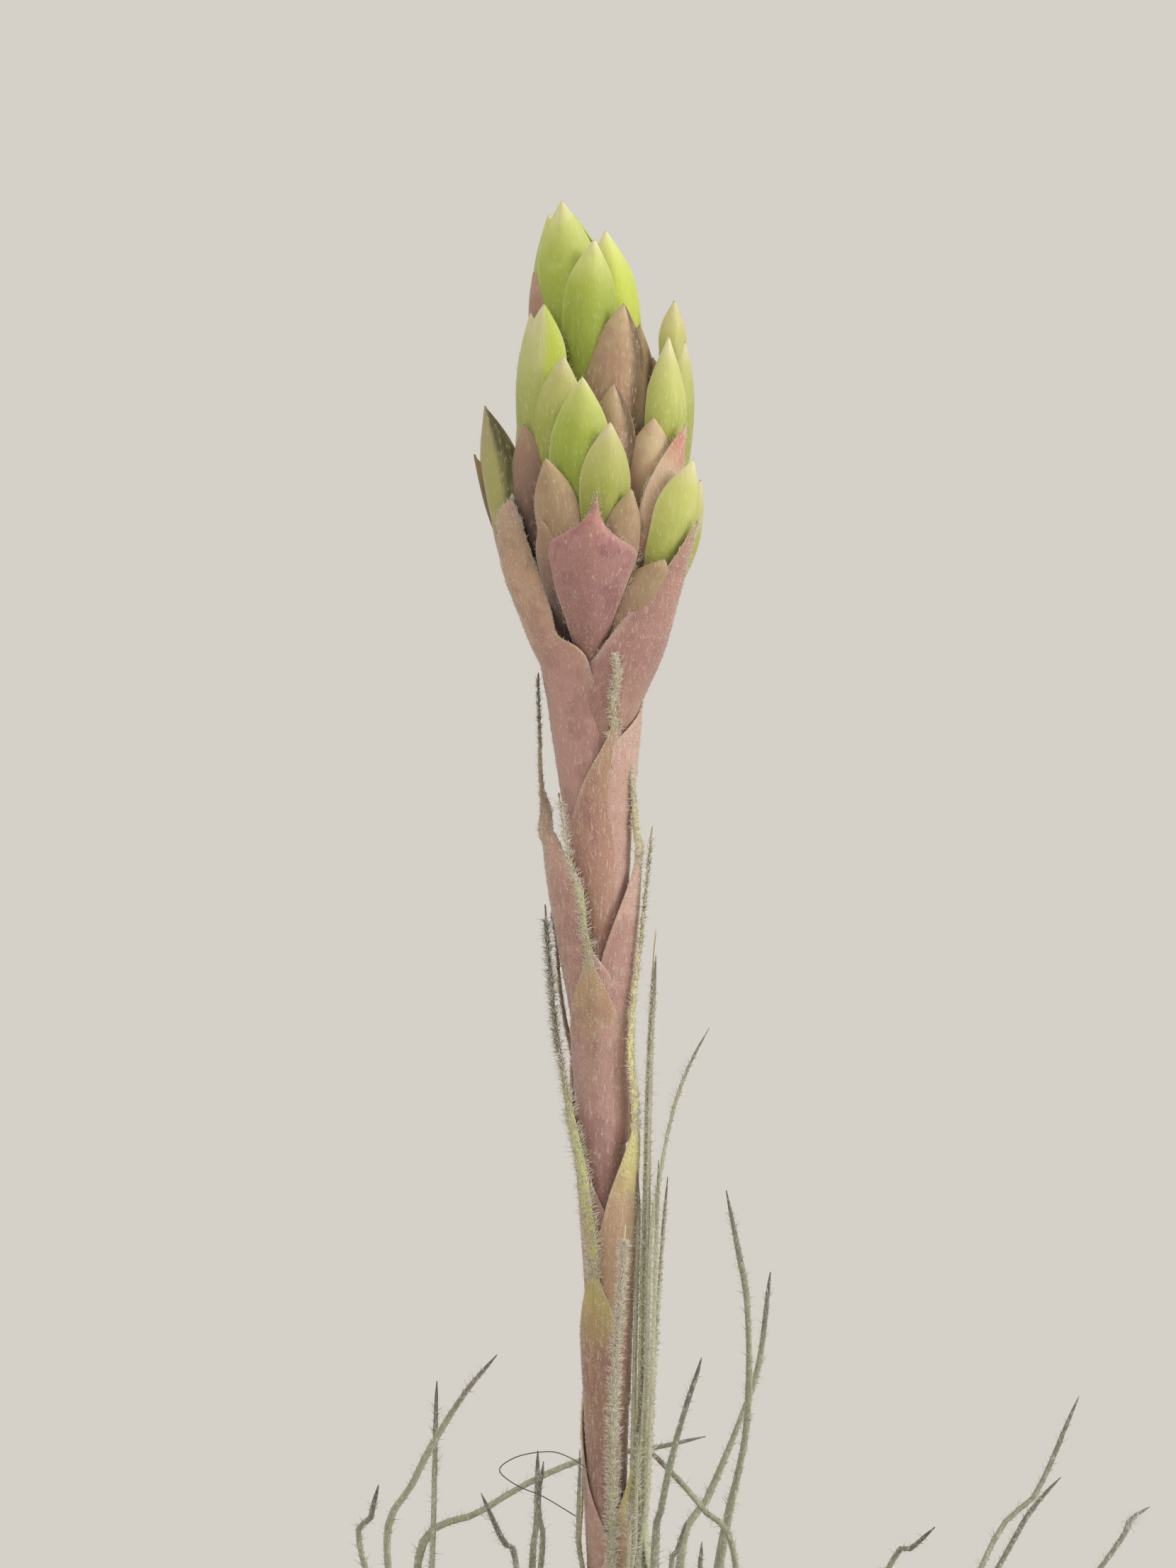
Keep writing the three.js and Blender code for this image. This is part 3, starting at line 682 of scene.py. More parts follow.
floralBracts = {
    # tip and foot as seen in the head, with their depth; half is the half width; face is where
    # its back looks; belly is how far it bulges outwards
    "topCrown": dict(tip=(-2.45, 41.6, -0.4), foot=(-0.7, 20, -0.2), half=2.8, face=265, belly=1.0,
                     skin=greenSkin),
    "topCrownBehind": dict(tip=(-3.6, 40.4, 0.9), foot=(-2.3, 22, 1.2), half=2.75, face=238, belly=0.9,
                           skin=greenSkin),
    "topFront": dict(tip=(0.48, 38.2, -1.8), foot=(-0.4, 22, -0.6), half=2.55, face=280, belly=0.9,
                     skin=greenSkin),
    "topRight": dict(tip=(1.46, 39.0, 0.3), foot=(4.3, 24, 0.3), half=2.3, face=292, belly=0.6,
                     skin=yellowGreenSkin),
    "topLeft": dict(tip=(-4.95, 35.3, 1.0), foot=(-3.9, 22, 0.9), half=1.9, face=215, belly=0.6,
                    skin=brownSkin),
    "topShield": dict(tip=(3.08, 32.6, -2.1), foot=(1.1, 15, -1.4), half=2.9, face=275, belly=0.8,
                      skin=shieldSkin),
    "topShieldBehind": dict(tip=(4.5, 30.7, -1.0), foot=(3.9, 13, -0.6), half=2.2, face=298, belly=0.7,
                            skin=shadeSkin),
    "topShieldLow": dict(tip=(2.16, 25.5, -3.0), foot=(1.9, 11, -1.8), half=2.2, face=275, belly=0.7,
                         skin=shieldSkin),
    "topBack": dict(tip=(-1.2, 40.2, 2.0), foot=(-0.6, 22, 1.4), half=2.7, face=90, belly=0.9,
                    skin=greenSkin),
    "topBackRight": dict(tip=(2.2, 35.5, 2.6), foot=(1.2, 20, 1.6), half=2.4, face=60, belly=0.9,
                         skin=paleGreenSkin),
    "topBackLeft": dict(tip=(-3.2, 33.5, 2.6), foot=(-2.0, 18, 1.6), half=2.2, face=125, belly=0.8,
                        skin=beigeSkin),
    "leftTall": dict(tip=(-3.98, 32.5, -2.2), foot=(-5.2, 15, -1.0), half=2.35, face=252, belly=0.9,
                     skin=leftGreenSkin),
    "leftTallBehind": dict(tip=(-5.2, 31.7, -1.4), foot=(-5.7, 15, -0.4), half=2.35, face=220,
                           belly=0.7, skin=paleGreenSkin),
    "leftFront": dict(tip=(-2.22, 27.9, -3.7), foot=(-4.1, 14, -2.0), half=2.45, face=258, belly=0.8,
                      skin=paleGreenSkin),
    "leftBase": dict(tip=(-5.85, 21.9, -2.6), foot=(-4.0, 5.5, -1.0), half=2.1, face=242, belly=0.8,
                     skin=shadowedSkin),
    "leftBack": dict(tip=(-5.6, 26.0, 0.8), foot=(-4.6, 12, 0.2), half=2.0, face=165, belly=0.7,
                     skin=beigeSkin),
    "frontTall": dict(tip=(-0.58, 26.1, -5.7), foot=(-1.4, 9, -3.4), half=2.8, face=262, belly=1.1,
                      skin=greenSkin),
    "frontRight": dict(tip=(1.88, 22.1, -6.4), foot=(0.9, 7.5, -3.8), half=2.4, face=285, belly=1.1,
                       skin=paleGreenSkin),
    "frontLeft": dict(tip=(-3.84, 18.9, -6.1), foot=(-1.0, 3.5, -3.4), half=2.1, face=255, belly=0.9,
                      skin=beigeSkin),
    "frontLowLeft": dict(tip=(-4.25, 13.4, -5.8), foot=(-1.0, 1.0, -2.4), half=1.7, face=245, belly=0.7,
                         skin=shadowedSkin),
    "frontLowRight": dict(tip=(3.77, 16.2, -6.1), foot=(1.6, 3, -3.6), half=1.9, face=298, belly=0.9,
                          skin=beigeSkin),
    "frontInner": dict(tip=(0.2, 22.5, -3.6), foot=(0.0, 7.0, -2.0), half=2.2, face=90, belly=0.6,
                       skin=beigeSkin),
    "rightTall": dict(tip=(7.54, 32.8, 0.4), foot=(7.6, 17, 0.6), half=1.4, face=290, belly=0.6,
                      blunt=2.6, skin=paleGreenSkin),
    "rightFront": dict(tip=(7.04, 29.6, -0.9), foot=(6.5, 15, -0.6), half=2.25, face=286, belly=0.9,
                       blunt=3.6, stay=0.95, skin=brightGreenSkin),
    "rightEdge": dict(tip=(8.55, 29.2, 0.7), foot=(8.0, 14, 0.5), half=2.0, face=320, belly=0.7,
                      skin=paleGreenSkin),
    "rightInner": dict(tip=(5.6, 27.8, 0.2), foot=(5.2, 14, 0.2), half=1.7, face=235, belly=0.7,
                       skin=brownSkin),
    "rightMiddle": dict(tip=(5.7, 22.5, -2.1), foot=(5.2, 7.5, -1.2), half=2.6, face=280, belly=0.9,
                        blunt=1.7, stay=0.8, skin=goldenSkin),
    "rightBack": dict(tip=(7.4, 24.5, 2.6), foot=(4.6, 10, 1.0), half=2.2, face=50, belly=0.8,
                      skin=beigeSkin),
    "lowRightTall": dict(tip=(9.25, 18.8, -4.2), foot=(5.0, 4.5, -2.4), half=2.3, face=300, belly=1.2,
                         skin=brightGreenSkin),
    "lowRightBehind": dict(tip=(9.95, 17.0, -2.9), foot=(6.2, 4, -1.6), half=2.3, face=325, belly=1.2,
                           skin=paleGreenSkin),
    "lowRightFront": dict(tip=(6.7, 10.0, -5.4), foot=(1.4, -1.5, -2.4), half=2.7, face=285, belly=0.7,
                          blunt=1.6, stay=0.75, skin=beigeSkin),
    "lowRightBack": dict(tip=(9.3, 12.5, 0.2), foot=(4.4, 1.5, -0.4), half=2.0, face=15, belly=1.0,
                         skin=beigeSkin),
    "lowLeftTall": dict(tip=(-9.23, 23.5, -0.9), foot=(-6.2, 8, -0.8), half=2.15, face=245, belly=0.3,
                        blunt=3.2, skin=oliveSkin),
    "lowLeftOuter": dict(tip=(-10.2, 19.2, 0.6), foot=(-5.4, 5, 0.8), half=1.2, face=225, belly=0.2,
                         blunt=4.0, skin=shadeSkin),
    "lowLeftFront": dict(tip=(-6.5, 13.6, -0.9), foot=(-2.9, 0.5, -0.5), half=1.6, face=243, belly=0.5,
                         skin=goldenSkin),
    "lowLeftBack": dict(tip=(-8.6, 16.0, 2.2), foot=(-4.4, 3, 1.0), half=2.1, face=140, belly=0.9,
                        skin=beigeSkin),
    "backLeftTall": dict(tip=(-4.2, 28.5, 5.6), foot=(-2.8, 10, 3.2), half=2.6, face=115, belly=1.2,
                         skin=greenSkin),
    "backLeftSide": dict(tip=(-6.2, 23.0, 4.8), foot=(-3.6, 8, 2.8), half=2.1, face=145, belly=1.0,
                         skin=paleGreenSkin),
    "backLeftFront": dict(tip=(-2.6, 20.0, 6.6), foot=(-1.6, 5, 3.4), half=2.3, face=95, belly=1.1,
                          skin=beigeSkin),
    "backRightTall": dict(tip=(4.2, 30.0, 5.6), foot=(2.6, 11, 3.2), half=2.6, face=60, belly=1.2,
                          skin=greenSkin),
    "backRightSide": dict(tip=(6.3, 24.0, 4.4), foot=(3.6, 9, 2.6), half=2.1, face=30, belly=1.0,
                          skin=paleGreenSkin),
    "backRightLow": dict(tip=(2.4, 20.5, 6.8), foot=(1.2, 5, 3.4), half=2.4, face=80, belly=1.1,
                         skin=beigeSkin),
}

# half widths at so many mm below the tip
frontHalves = [(0, 0.03), (0.9, 0.24), (1.8, 0.5), (2.6, 0.95), (3.7, 2.25), (4.6, 3.7), (5.2, 4.2),
               (5.9, 4.2), (8.2, 3.5), (11.5, 2.3), (14, 1.5), (18, 0.9)]
broadHalves = [(0, 0.03), (0.8, 0.3), (2.0, 0.7), (4.0, 1.25), (6.5, 1.9), (9.0, 2.4), (14, 2.4),
               (20, 1.8)]
backHalves = [(0, 0.03), (0.8, 0.35), (2.2, 1.3), (4.5, 2.8), (7.0, 3.6), (11.0, 3.4), (16, 2.4),
              (22, 1.6)]
rightHalves = [(0, 0.03), (0.8, 0.35), (2.0, 0.95), (4.0, 1.75), (6.5, 2.4), (9.0, 2.6), (14, 2.4),
               (20, 1.8)]
primaryBracts = {
    "primaryFront": dict(tip=(0.7, 15.8, -7.9), shoulder=(0.1, 10.8, -7.6), foot=(-0.1, -3.0, -1.4),
                         halves=frontHalves, face=268, skin=rosySkin),
    "primaryRight": dict(tip=(8.6, 21.9, -1.6), shoulder=(7.3, 14.5, -3.2), foot=(3.4, 2.5, -1.5),
                         halves=rightHalves, face=316, skin=flushedSkin),
    "primaryLeft": dict(tip=(-5.0, 14.0, -1.6), shoulder=(-4.2, 8.5, -1.9), foot=(-2.6, 0.5, -1.4),
                        halves=broadHalves, face=232, skin=brownSkin),
    "primaryBackLeft": dict(tip=(-4.4, 16.5, 7.4), shoulder=(-4.0, 10.0, 7.2), foot=(-0.6, -2.0, 2.2),
                            halves=backHalves, face=115, skin=rosySkin),
    "primaryBackRight": dict(tip=(4.6, 17.0, 7.0), shoulder=(4.0, 10.0, 7.0), foot=(0.8, -2.0, 2.0),
                             halves=backHalves, face=60, skin=dustySkin),
}

headOf = {  # which solid of the plain model each bract stands for
    "top": "spike_top", "left": "spike_left", "front": "spike_front", "right": "spike_right",
    "lowRight": "spike_right_low", "lowLeft": "spike_left_low", "backLeft": "spike_back_left",
    "backRight": "spike_back_right",
}


def spikeOf(name):
    return headOf[max((key for key in headOf if name.startswith(key)), key=len)]


def makeFloralBract(name, plan, seed):
    tip, foot = inHead(*plan["tip"]), inHead(*plan["foot"])
    outwardWay = azimuthOf(plan["face"])
    middle = foot * 0.5 + tip * 0.5 + outwardWay * plan["belly"]
    upper = foot * 0.2 + tip * 0.8 + outwardWay * plan["belly"] * 0.62
    centre = routeThrough([foot, middle, upper, tip], sheetRows + 1)
    v = np.linspace(0, 1, sheetRows + 1)
    half = bluntHalves(centre, plan["half"], plan.get("blunt", 2.2), plan.get("stay", 0.62))
    wrap = 1.15 - 0.15 * smoothstep(0, 0.5, v) + 0.2 * smoothstep(0.75, 1, v)
    places, *rest = sheetPlaces(sheetMaster, centre, outwardWay, half, wrap, keel=0.1,
                                ripple=0.05, seed=seed)
    piece = placeCopy(sheetMaster, name, places, plan["skin"])
    finishSheet(piece, wallOf["floral"])
    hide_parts(spikeOf(name))
    addDown(places, *rest, count=60, length=(0.1, 0.24), tintMix=[0.8, 0.2, 0], seed=seed + 500,
            lift=0.1, edgeOnly=True, low=0.4, high=0.99, radius=0.014)
    return piece


def makePrimaryBract(name, plan, seed):
    tip, foot = inHead(*plan["tip"]), inHead(*plan["foot"])
    shoulder = inHead(*plan["shoulder"])
    outwardWay = azimuthOf(plan["face"])
    between = foot * 0.5 + shoulder * 0.5 + outwardWay * 0.7
    centre = routeThrough([foot, between, shoulder, tip], sheetRows + 1)
    v = np.linspace(0, 1, sheetRows + 1)
    steps = np.linalg.norm(np.diff(centre, axis=0), axis=1)
    below = np.concatenate([np.cumsum(steps[::-1])[::-1], [0.0]])
    half = np.interp(below, *zip(*plan["halves"]))
    wrap = 1.15 - 0.35 * smoothstep(0, 0.5, v) + 0.2 * smoothstep(0.75, 1, v)
    places, *rest = sheetPlaces(sheetMaster, centre, outwardWay, half, wrap, keel=0.12,
                                ripple=0.08, seed=seed)
    piece = placeCopy(sheetMaster, name, places, plan["skin"])
    finishSheet(piece, wallOf["primary"])
    addDown(places, *rest, count=900, length=(0.12, 0.32), tintMix=[0.75, 0.25, 0], seed=seed,
            lift=0.15, low=0.1, high=0.98, radius=0.013)
    addDown(places, *rest, count=160, length=(0.2, 0.5), tintMix=[0.8, 0.2, 0], seed=seed + 500,
            lift=0.1, edgeOnly=True, low=0.35, high=0.99, radius=0.016)
    return piece


for number, (name, plan) in enumerate(floralBracts.items()):
    makeFloralBract(name, plan, firstSeed["floral"] + number)
primaryNodes = {
    "primaryFront": "primary_bract_front", "primaryRight": "primary_bract_right",
    "primaryLeft": "primary_bract_left", "primaryBackLeft": "primary_bract_back_left",
}
for number, (name, plan) in enumerate(primaryBracts.items()):
    primary = makePrimaryBract(name, plan, firstSeed["primary"] + number)
    if name in primaryNodes:
        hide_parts(primaryNodes[name])
print("flower head ready")

# flower stalk

stalkLow, stalkHigh = (Vector(corner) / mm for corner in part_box("scape"))
stalk = {
    "foot": np.array([0.6, 0, stalkLow.z]), "top": np.array([-1.3, 0, stalkHigh.z]),
    "radius": 1.5, "topRadius": 0.9,
}


def stalkAt(level):
    level = np.asarray(level, float)
    foot, top = stalk["foot"], stalk["top"]
    t = np.clip((level - foot[2]) / (top[2] - foot[2]), 0, 1)
    x = foot[0] + (top[0] - foot[0]) * t * t
    return np.stack([x, np.zeros_like(x), level], axis=-1)


def shootPlaces(centre, facing, halfWidth, halfThickness):
    flat = vertexArray(shootMaster.data)
    rows = len(centre)
    row = np.clip(np.round((flat[:, 2] + 1) / 2 * (rows - 1)).astype(int), 0, rows - 1)
    along, across, outward = frames(centre, facing)
    places = (centre[row] + across[row] * (flat[:, 0] * halfWidth[row])[:, None]
              - outward[row] * (flat[:, 1] * halfThickness[row])[:, None])
    return places, row, flat, along, across, outward


def uvUpTheShoot(piece):
    # u goes across from edge to edge, v from foot to tip
    flat = vertexArray(shootMaster.data)
    layer = piece.data.uv_layers["UVMap"]
    index = np.empty(len(piece.data.loops), int)
    piece.data.loops.foreach_get("vertex_index", index)
    flat = flat[index]
    layer.data.foreach_set("uv", np.stack([flat[:, 0] / 2 + 0.5, flat[:, 2] / 2 + 0.5], 1).ravel())


stalkSkin = Finish("stalkSkin", Roughness=0.6)
stalkGrain = stalkSkin.noise(1400.0, 4.0, (1, 1, 0.12))
stalkSkin.set("Base Color", stalkSkin.ramp(stalkGrain,
                                           [(0.3, tint(140, 108, 90)), (0.7, tint(166, 132, 108))]))
stalkSkin.relief(stalkGrain, 0.5, 0.0001)

levels = np.linspace(stalk["foot"][2], stalk["top"][2], shootRows + 1)
thick = np.linspace(stalk["radius"], stalk["topRadius"], shootRows + 1)
stemPlaces, *_ = shootPlaces(stalkAt(levels), azimuthOf(270), thick, thick)
stalkPiece = placeCopy(shootMaster, "flowerStalk", stemPlaces, stalkSkin.material)
uvUpTheShoot(stalkPiece)
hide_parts("scape")

# each bract: the height where its sheath runs into the awn, the way it faces, and its awn's
# course, as seen from the front
stalkBracts = [
    dict(neck=-26, face=200, path=[(-2.4, -14, 2.6)], skin=paleSheath),
    dict(neck=-20, face=75, path=[(2.0, -2, 4.6)], skin=brownSheath),
    dict(neck=-13, face=350, path=[(3.3, 0, -0.9), (3.6, 20, -1.0), (3.8, 36, -1.2), (4.1, 46, -1.3),
                                   (4.8, 56.6, -1.2)], grow=0.4, skin=paleSheath, fuzz=2.2),
    dict(neck=-6, face=278, path=[(0.85, 6, -3.2), (1.05, 16, -3.3), (1.45, 23, -3.3), (1.85, 27, -3.3),
                                  (2.05, 30.4, -3.2)], skin=paleSheath, fuzz=4.0, long=1.2, lift=0.6,
         dry=0.6),
    dict(neck=2, face=178, path=[(-1.6, 12, 3.2)], skin=brownSheath),
    dict(neck=10.5, face=338, path=[(3.4, 17, -1.6), (3.5, 25, -1.6), (3.7, 33, -1.4)], grow=0.4,
         skin=limeSheath, fuzz=1.6),
    dict(neck=17, face=128, path=[(-0.8, 32, 4.0)], skin=salmonSheath),
    dict(neck=26.5, face=246, path=[(-1.3, 31, -2.9), (-1.85, 35, -2.8), (-2.65, 38.4, -2.5),
                                    (-3.2, 41.6, -2.1), (-3.55, 44, -1.8), (-4.2, 47.9, -1.5),
                                    (-4.7, 53, -1.3), (-5.07, 58.6, -1.2)], skin=brownSheath, fuzz=2.6,
         dry=0.48, wide=1.7, tint=[0.4, 0.2, 0.05, 0.35]),
    dict(neck=33, face=30, path=[(2.2, 48, 3.6), (1.0, 60, 4.6)], grow=0.3, skin=salmonSheath),
    dict(neck=39.5, face=330, path=[(2.64, 44.5, -2.3), (2.8, 48.5, -2.2), (3.05, 51.8, -2.0),
                                    (3.4, 55.1, -1.7), (4.0, 61, -1.2), (4.45, 65.5, -1.0)], grow=0.75,
         skin=limeSheath, fuzz=1.8, wide=1.6, dry=0.4, tint=[0.5, 0.25, 0.05, 0.2]),
    dict(neck=44, face=152, path=[(-3.7, 50, 0.5), (-4.1, 55, 0.6), (-4.6, 58, 0.6)], skin=duskSheath,
         tint=[0.5, 0.2, 0.1, 0.2]),
    dict(neck=53.7, face=254, path=[(-1.55, 56, -3.5), (-1.85, 58.5, -3.7), (-2.55, 61.2, -3.6),
                                    (-3.2, 63.5, -3.4), (-3.85, 68.4, -3.0)], skin=pinkSheath,
         splay=0.25, over=8, fuzz=1.8, dry=0.5),
    dict(neck=57, face=80, path=[(0.4, 72, 4.6)], skin=paleSheath),
    dict(neck=62.5, face=343, path=[(3.25, 64.6, -1.4), (2.95, 67.5, -1.5), (2.6, 71, -1.8)],
         splay=0.35, over=14, grow=0.55, tuck=(0.5, 0.3), skin=blushSheath, fuzz=2.2, wide=2.0),
    dict(neck=63.8, face=196, path=[(-5.5, 67, -1.1), (-5.65, 70.5, -1.2), (-5.65, 74, -1.2),
                                    (-5.75, 79, -1.2)], splay=1.55, over=20, tuck=(0.5, 1.5),
         openings=[(0, 3), (1.9, 26), (3.2, 40), (4.3, 47), (9.5, 54), (12, 90), (18, 130), (26, 150)],
         skin=duskSheath, tint=[0.1, 0.1, 0.2, 0.6], fuzz=1.3),
    dict(neck=74.0, face=299, path=[(0.95, 76.5, -4.3), (1.35, 78.6, -4.8), (1.1, 80.8, -5.0)],
         splay=0.35, over=8, skin=rosySheath, fuzz=2.2),
    dict(neck=76.6, face=10, path=[(4.4, 80, 2.6), (3.4, 85, 4.0)], grow=0.35, splay=0.5, over=14,
         open=4.5, skin=blushSheath, fuzz=1.5),
]
sheath = {
    "length": 25.0,
    "awn": 0.34, "awnTip": 0.16,  # half widths
    "step": 1.0,                  # how much closer to the stalk the foot lies
    "neckRow": 30,                # rows up to the neck, of the master's
}
# the sheaths' radius at heights above the lower edge of the view
outerRadius = [(-40, 2.45), (0, 2.5), (20, 2.5), (32, 2.65), (46, 2.95), (60, 3.15), (70, 3.45),
               (80, 3.7)]


def makeSheathed(name, out, level, radius, halfAngle, spine, bladeHalf, bladeTurn, skin, wall, seed,
                 wander=0.0, tuck=(0, 0), facing=None, shift=0.0):
    # rows follow the stalk up to the neck, then the spine of the awn or blade; every row is an
    # arc about the bract's back
    flat = vertexArray(sheathMaster.data)
    neckRow = len(level) - 1
    row = np.round((flat[:, 1] + 1) / 2 * sheathRows).astype(int)
    u = flat[:, 0]
    midrib = np.vstack([stalkAt(level) + out * (radius + shift)[:, None], spine[1:]])
    along = unit(np.gradient(midrib, axis=0))
    across = unit(np.cross(along, out if facing is None else facing))
    outward = np.cross(across, along)
    blend = smoothstep(0, 0.3, np.linspace(0, 1, sheathRows + 1 - neckRow))[1:]
    bend = radius[-1] + (np.maximum(bladeHalf[1:] / math.sin(bladeTurn), 0.02) - radius[-1]) * blend
    bend = np.maximum(bend, bladeHalf[1:] * 1.01)
    bend = np.concatenate([radius, bend])
    turn = np.concatenate([halfAngle, np.arcsin(np.clip(bladeHalf[1:] / bend[neckRow + 1:], 0, 1))])
    angle = u * turn[row]
    ripple = wander * np.sin(row * 0.7 + seed) * (row > neckRow)
    places = (midrib[row] + across[row] * (bend[row] * np.sin(angle) + ripple)[:, None]
              - outward[row] * (bend[row] * (1 - np.cos(angle)))[:, None])
    near = smoothstep(14, 2, level[-1] - midrib[row][:, 2]) * smoothstep(1.0, 0.5, row / sheathRows)
    inward = np.where(u < 0, tuck[0], tuck[1]) * u * u * near
    normal = across[row] * np.sin(angle)[:, None] + outward[row] * np.cos(angle)[:, None]
    places -= normal * inward[:, None]
    piece = placeCopy(sheathMaster, name, places, skin)
    finishSheet(piece, wall)
    return piece, places, row, u, along, across, normal


def sheathDown(places, row, along, normal, where, count, length, mix, seed, radius=(0.015, 0.026),
               lift=0.35):
    rng = np.random.default_rng(seed)
    spots = np.flatnonzero(where)
    pick = rng.choice(spots, count)
    aim = normal[pick] * lift + along[row[pick]] + rng.normal(0, 0.32, (count, 3))
    downBeds.append({
        "root": scatter(places, pick, sheathColumns + 1, rng),
        "aim": unit(aim), "length": rng.uniform(*length, count),
        "radius": rng.uniform(*radius, count), "mix": mix, "seed": seed})


def makeStalkBract(number, plan):
    neckRow = sheath["neckRow"]
    awnRows = sheathRows - neckRow
    out = azimuthOf(plan["face"])
    neck = view["lowerEdge"] + plan["neck"]
    foot = max(neck - sheath["length"], stalk["foot"][2] + 0.4)
    share = np.linspace(0, 1, neckRow + 1)
    level = foot + (neck - foot) * share
    below = neck - level
    radius = np.interp(level - view["lowerEdge"], *zip(*outerRadius)) - sheath["step"] * (1 - share)
    radius = radius + plan.get("splay", 0) * smoothstep(plan.get("over", 5), 0, below)
    shift = plan.get("grow", 0)
    if "openings" in plan:
        opening = np.interp(below, *zip(*plan["openings"]))
    else:
        opening = 122 * (1 - np.exp(-(below / plan.get("open", 9.5)) ** 1.3))
        opening = opening + 55 * smoothstep(9, 18, below)
    halfAngle = sheath["awn"] / radius + np.radians(opening)
    first = stalkAt(level[-1]) + out * (radius[-1] + shift)
    lean = np.array([0, 0, 1.2]) + out * plan.get("splay", 0) * 0.3
    course = [seenAt(*point) for point in plan["path"]]
    spine = routeThrough([first, first + lean] + course, awnRows + 1)
    t = np.linspace(0, 1, awnRows + 1)
    bladeHalf = (sheath["awn"] + (sheath["awnTip"] - sheath["awn"]) * t) * plan.get("wide", 1)
    if "dry" in plan:  # the upper part of the awn has dried thin
        bladeHalf = bladeHalf * (1 - 0.45 * smoothstep(plan["dry"] - 0.15, plan["dry"] + 0.15, t))
    bladeHalf = bladeHalf * np.interp(t, [0, 0.95, 1], [1, 0.8, 0.2])
    seed = firstSeed["stalkBract"] + number * 11
    piece, places, row, u, along, across, normal = makeSheathed(
        f"stalkBract{number + 1:02d}", out, level, radius, halfAngle, spine, bladeHalf, 1.1,
        plan["skin"], wallOf["stalkBract"], seed, 0.04, plan.get("tuck", (0, 0)), shift=shift)
    sheathDown(places, row, along, normal, (row > 4) & (row <= neckRow), 1700, (0.12, 0.34),
               [0.7, 0.3, 0], seed)
    awnLength = np.linalg.norm(np.diff(spine, axis=0), axis=1).sum()
    fuzz = plan.get("fuzz", 1.0) * awnLength
    longest = plan.get("long", 1)
    # from this row up an awn with a tint of its own takes that hair mix: greyer where the awn has
    # dried, and on the awns at the left darker still, painted shade for hairs seen dark against the
    # light
    driedAndShadedFrom = neckRow + 12 if "tint" in plan else sheathRows
    rng = np.random.default_rng(seed + 5)
    for low, high, mix in ((neckRow - 2, driedAndShadedFrom, [0.65, 0.3, 0.05]),
                           (driedAndShadedFrom, sheathRows, plan.get("tint"))):
        share = (high - low) / (awnRows + 4)
        if share <= 0:
            continue
        onAwn = (row > low) & (row <= min(high, sheathRows - 2))  # the last of the tip is bare
        sheathDown(places, row, along, normal, onAwn, int(26 * fuzz * share), (0.2, 0.6 * longest),
                   mix, seed + 3 + low, (0.02, 0.034), plan.get("lift", 0.6))
        spots = np.flatnonzero(onAwn & (np.abs(u) > 0.9))
        count = int(16 * fuzz * share)
        pick = rng.choice(spots, count)
        aim = across[row[pick]] * np.sign(u[pick])[:, None]
        aim = aim + along[row[pick]] * rng.uniform(0.1, 0.9, (count, 1))
        downBeds.append({
            "root": scatter(places, pick, sheathColumns + 1, rng, False),
            "aim": unit(aim + rng.normal(0, 0.25, (count, 3))),
            "length": rng.uniform(0.3, 0.85 * longest, count),
            "radius": rng.uniform(0.02, 0.032, count), "mix": mix, "seed": seed + 5 + low})
    return piece


bractNodes = [f"scape_bract_{i:02d}" for i in range(1, 14)]
for number, plan in enumerate(stalkBracts):
    bractPiece = makeStalkBract(number, plan)
    if number < len(bractNodes):
        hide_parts(bractNodes[number])

# the two big bracts at the foot of the head clasp the stalk and flare under the side spikes;
# openings are half angles at so many mm below the neck, halves are half widths below the tip
collars = {
    "collarLeft": dict(
        face=196, turnTo=234, neck=0.5, length=21, splay=0.3, shift=0.65, lift=-0.15, tuck=(0, -0.4),
        openings=[(0, 79), (1.6, 85), (3.1, 97), (8, 130), (14, 150)],
        path=[(-5.0, 2.4, -1.5), (-5.5, 4.0, -1.8), (-6.2, 6.7, -2.1), (-6.9, 9.5, -2.3),
              (-7.4, 12.3, -2.3), (-7.5, 13.7, -2.3), (-6.8, 15.4, -2.3)],
        halves=[(0, 0.03), (0.7, 0.7), (1.7, 1.4), (3.3, 1.5), (6.2, 1.85), (9.2, 2.25), (12.3, 2.8),
                (13.8, 3.35), (15, 3.7), (16, 3.8)],
        skin=goldenCollar, node="primary_bract_left_low"),
    "collarRight": dict(
        face=318, neck=-2.6, length=18, splay=0.75, shift=0.45, lift=-0.4, tuck=(0.55, 0),
        openings=[(0, 70), (1.5, 78), (4, 95), (9, 125), (14, 150)],
        path=[(4.95, 0.6, -3.4), (6.5, 4.4, -4.0), (7.9, 8.2, -4.4), (9.7, 13.4, -4.2)],
        halves=[(0, 0.03), (2, 0.5), (4, 1.0), (6, 1.65), (8.4, 2.4), (10.5, 3.2), (13, 3.85),
                (17, 4.1)],
        skin=duskyCollar, node="primary_bract_right_low"),
}


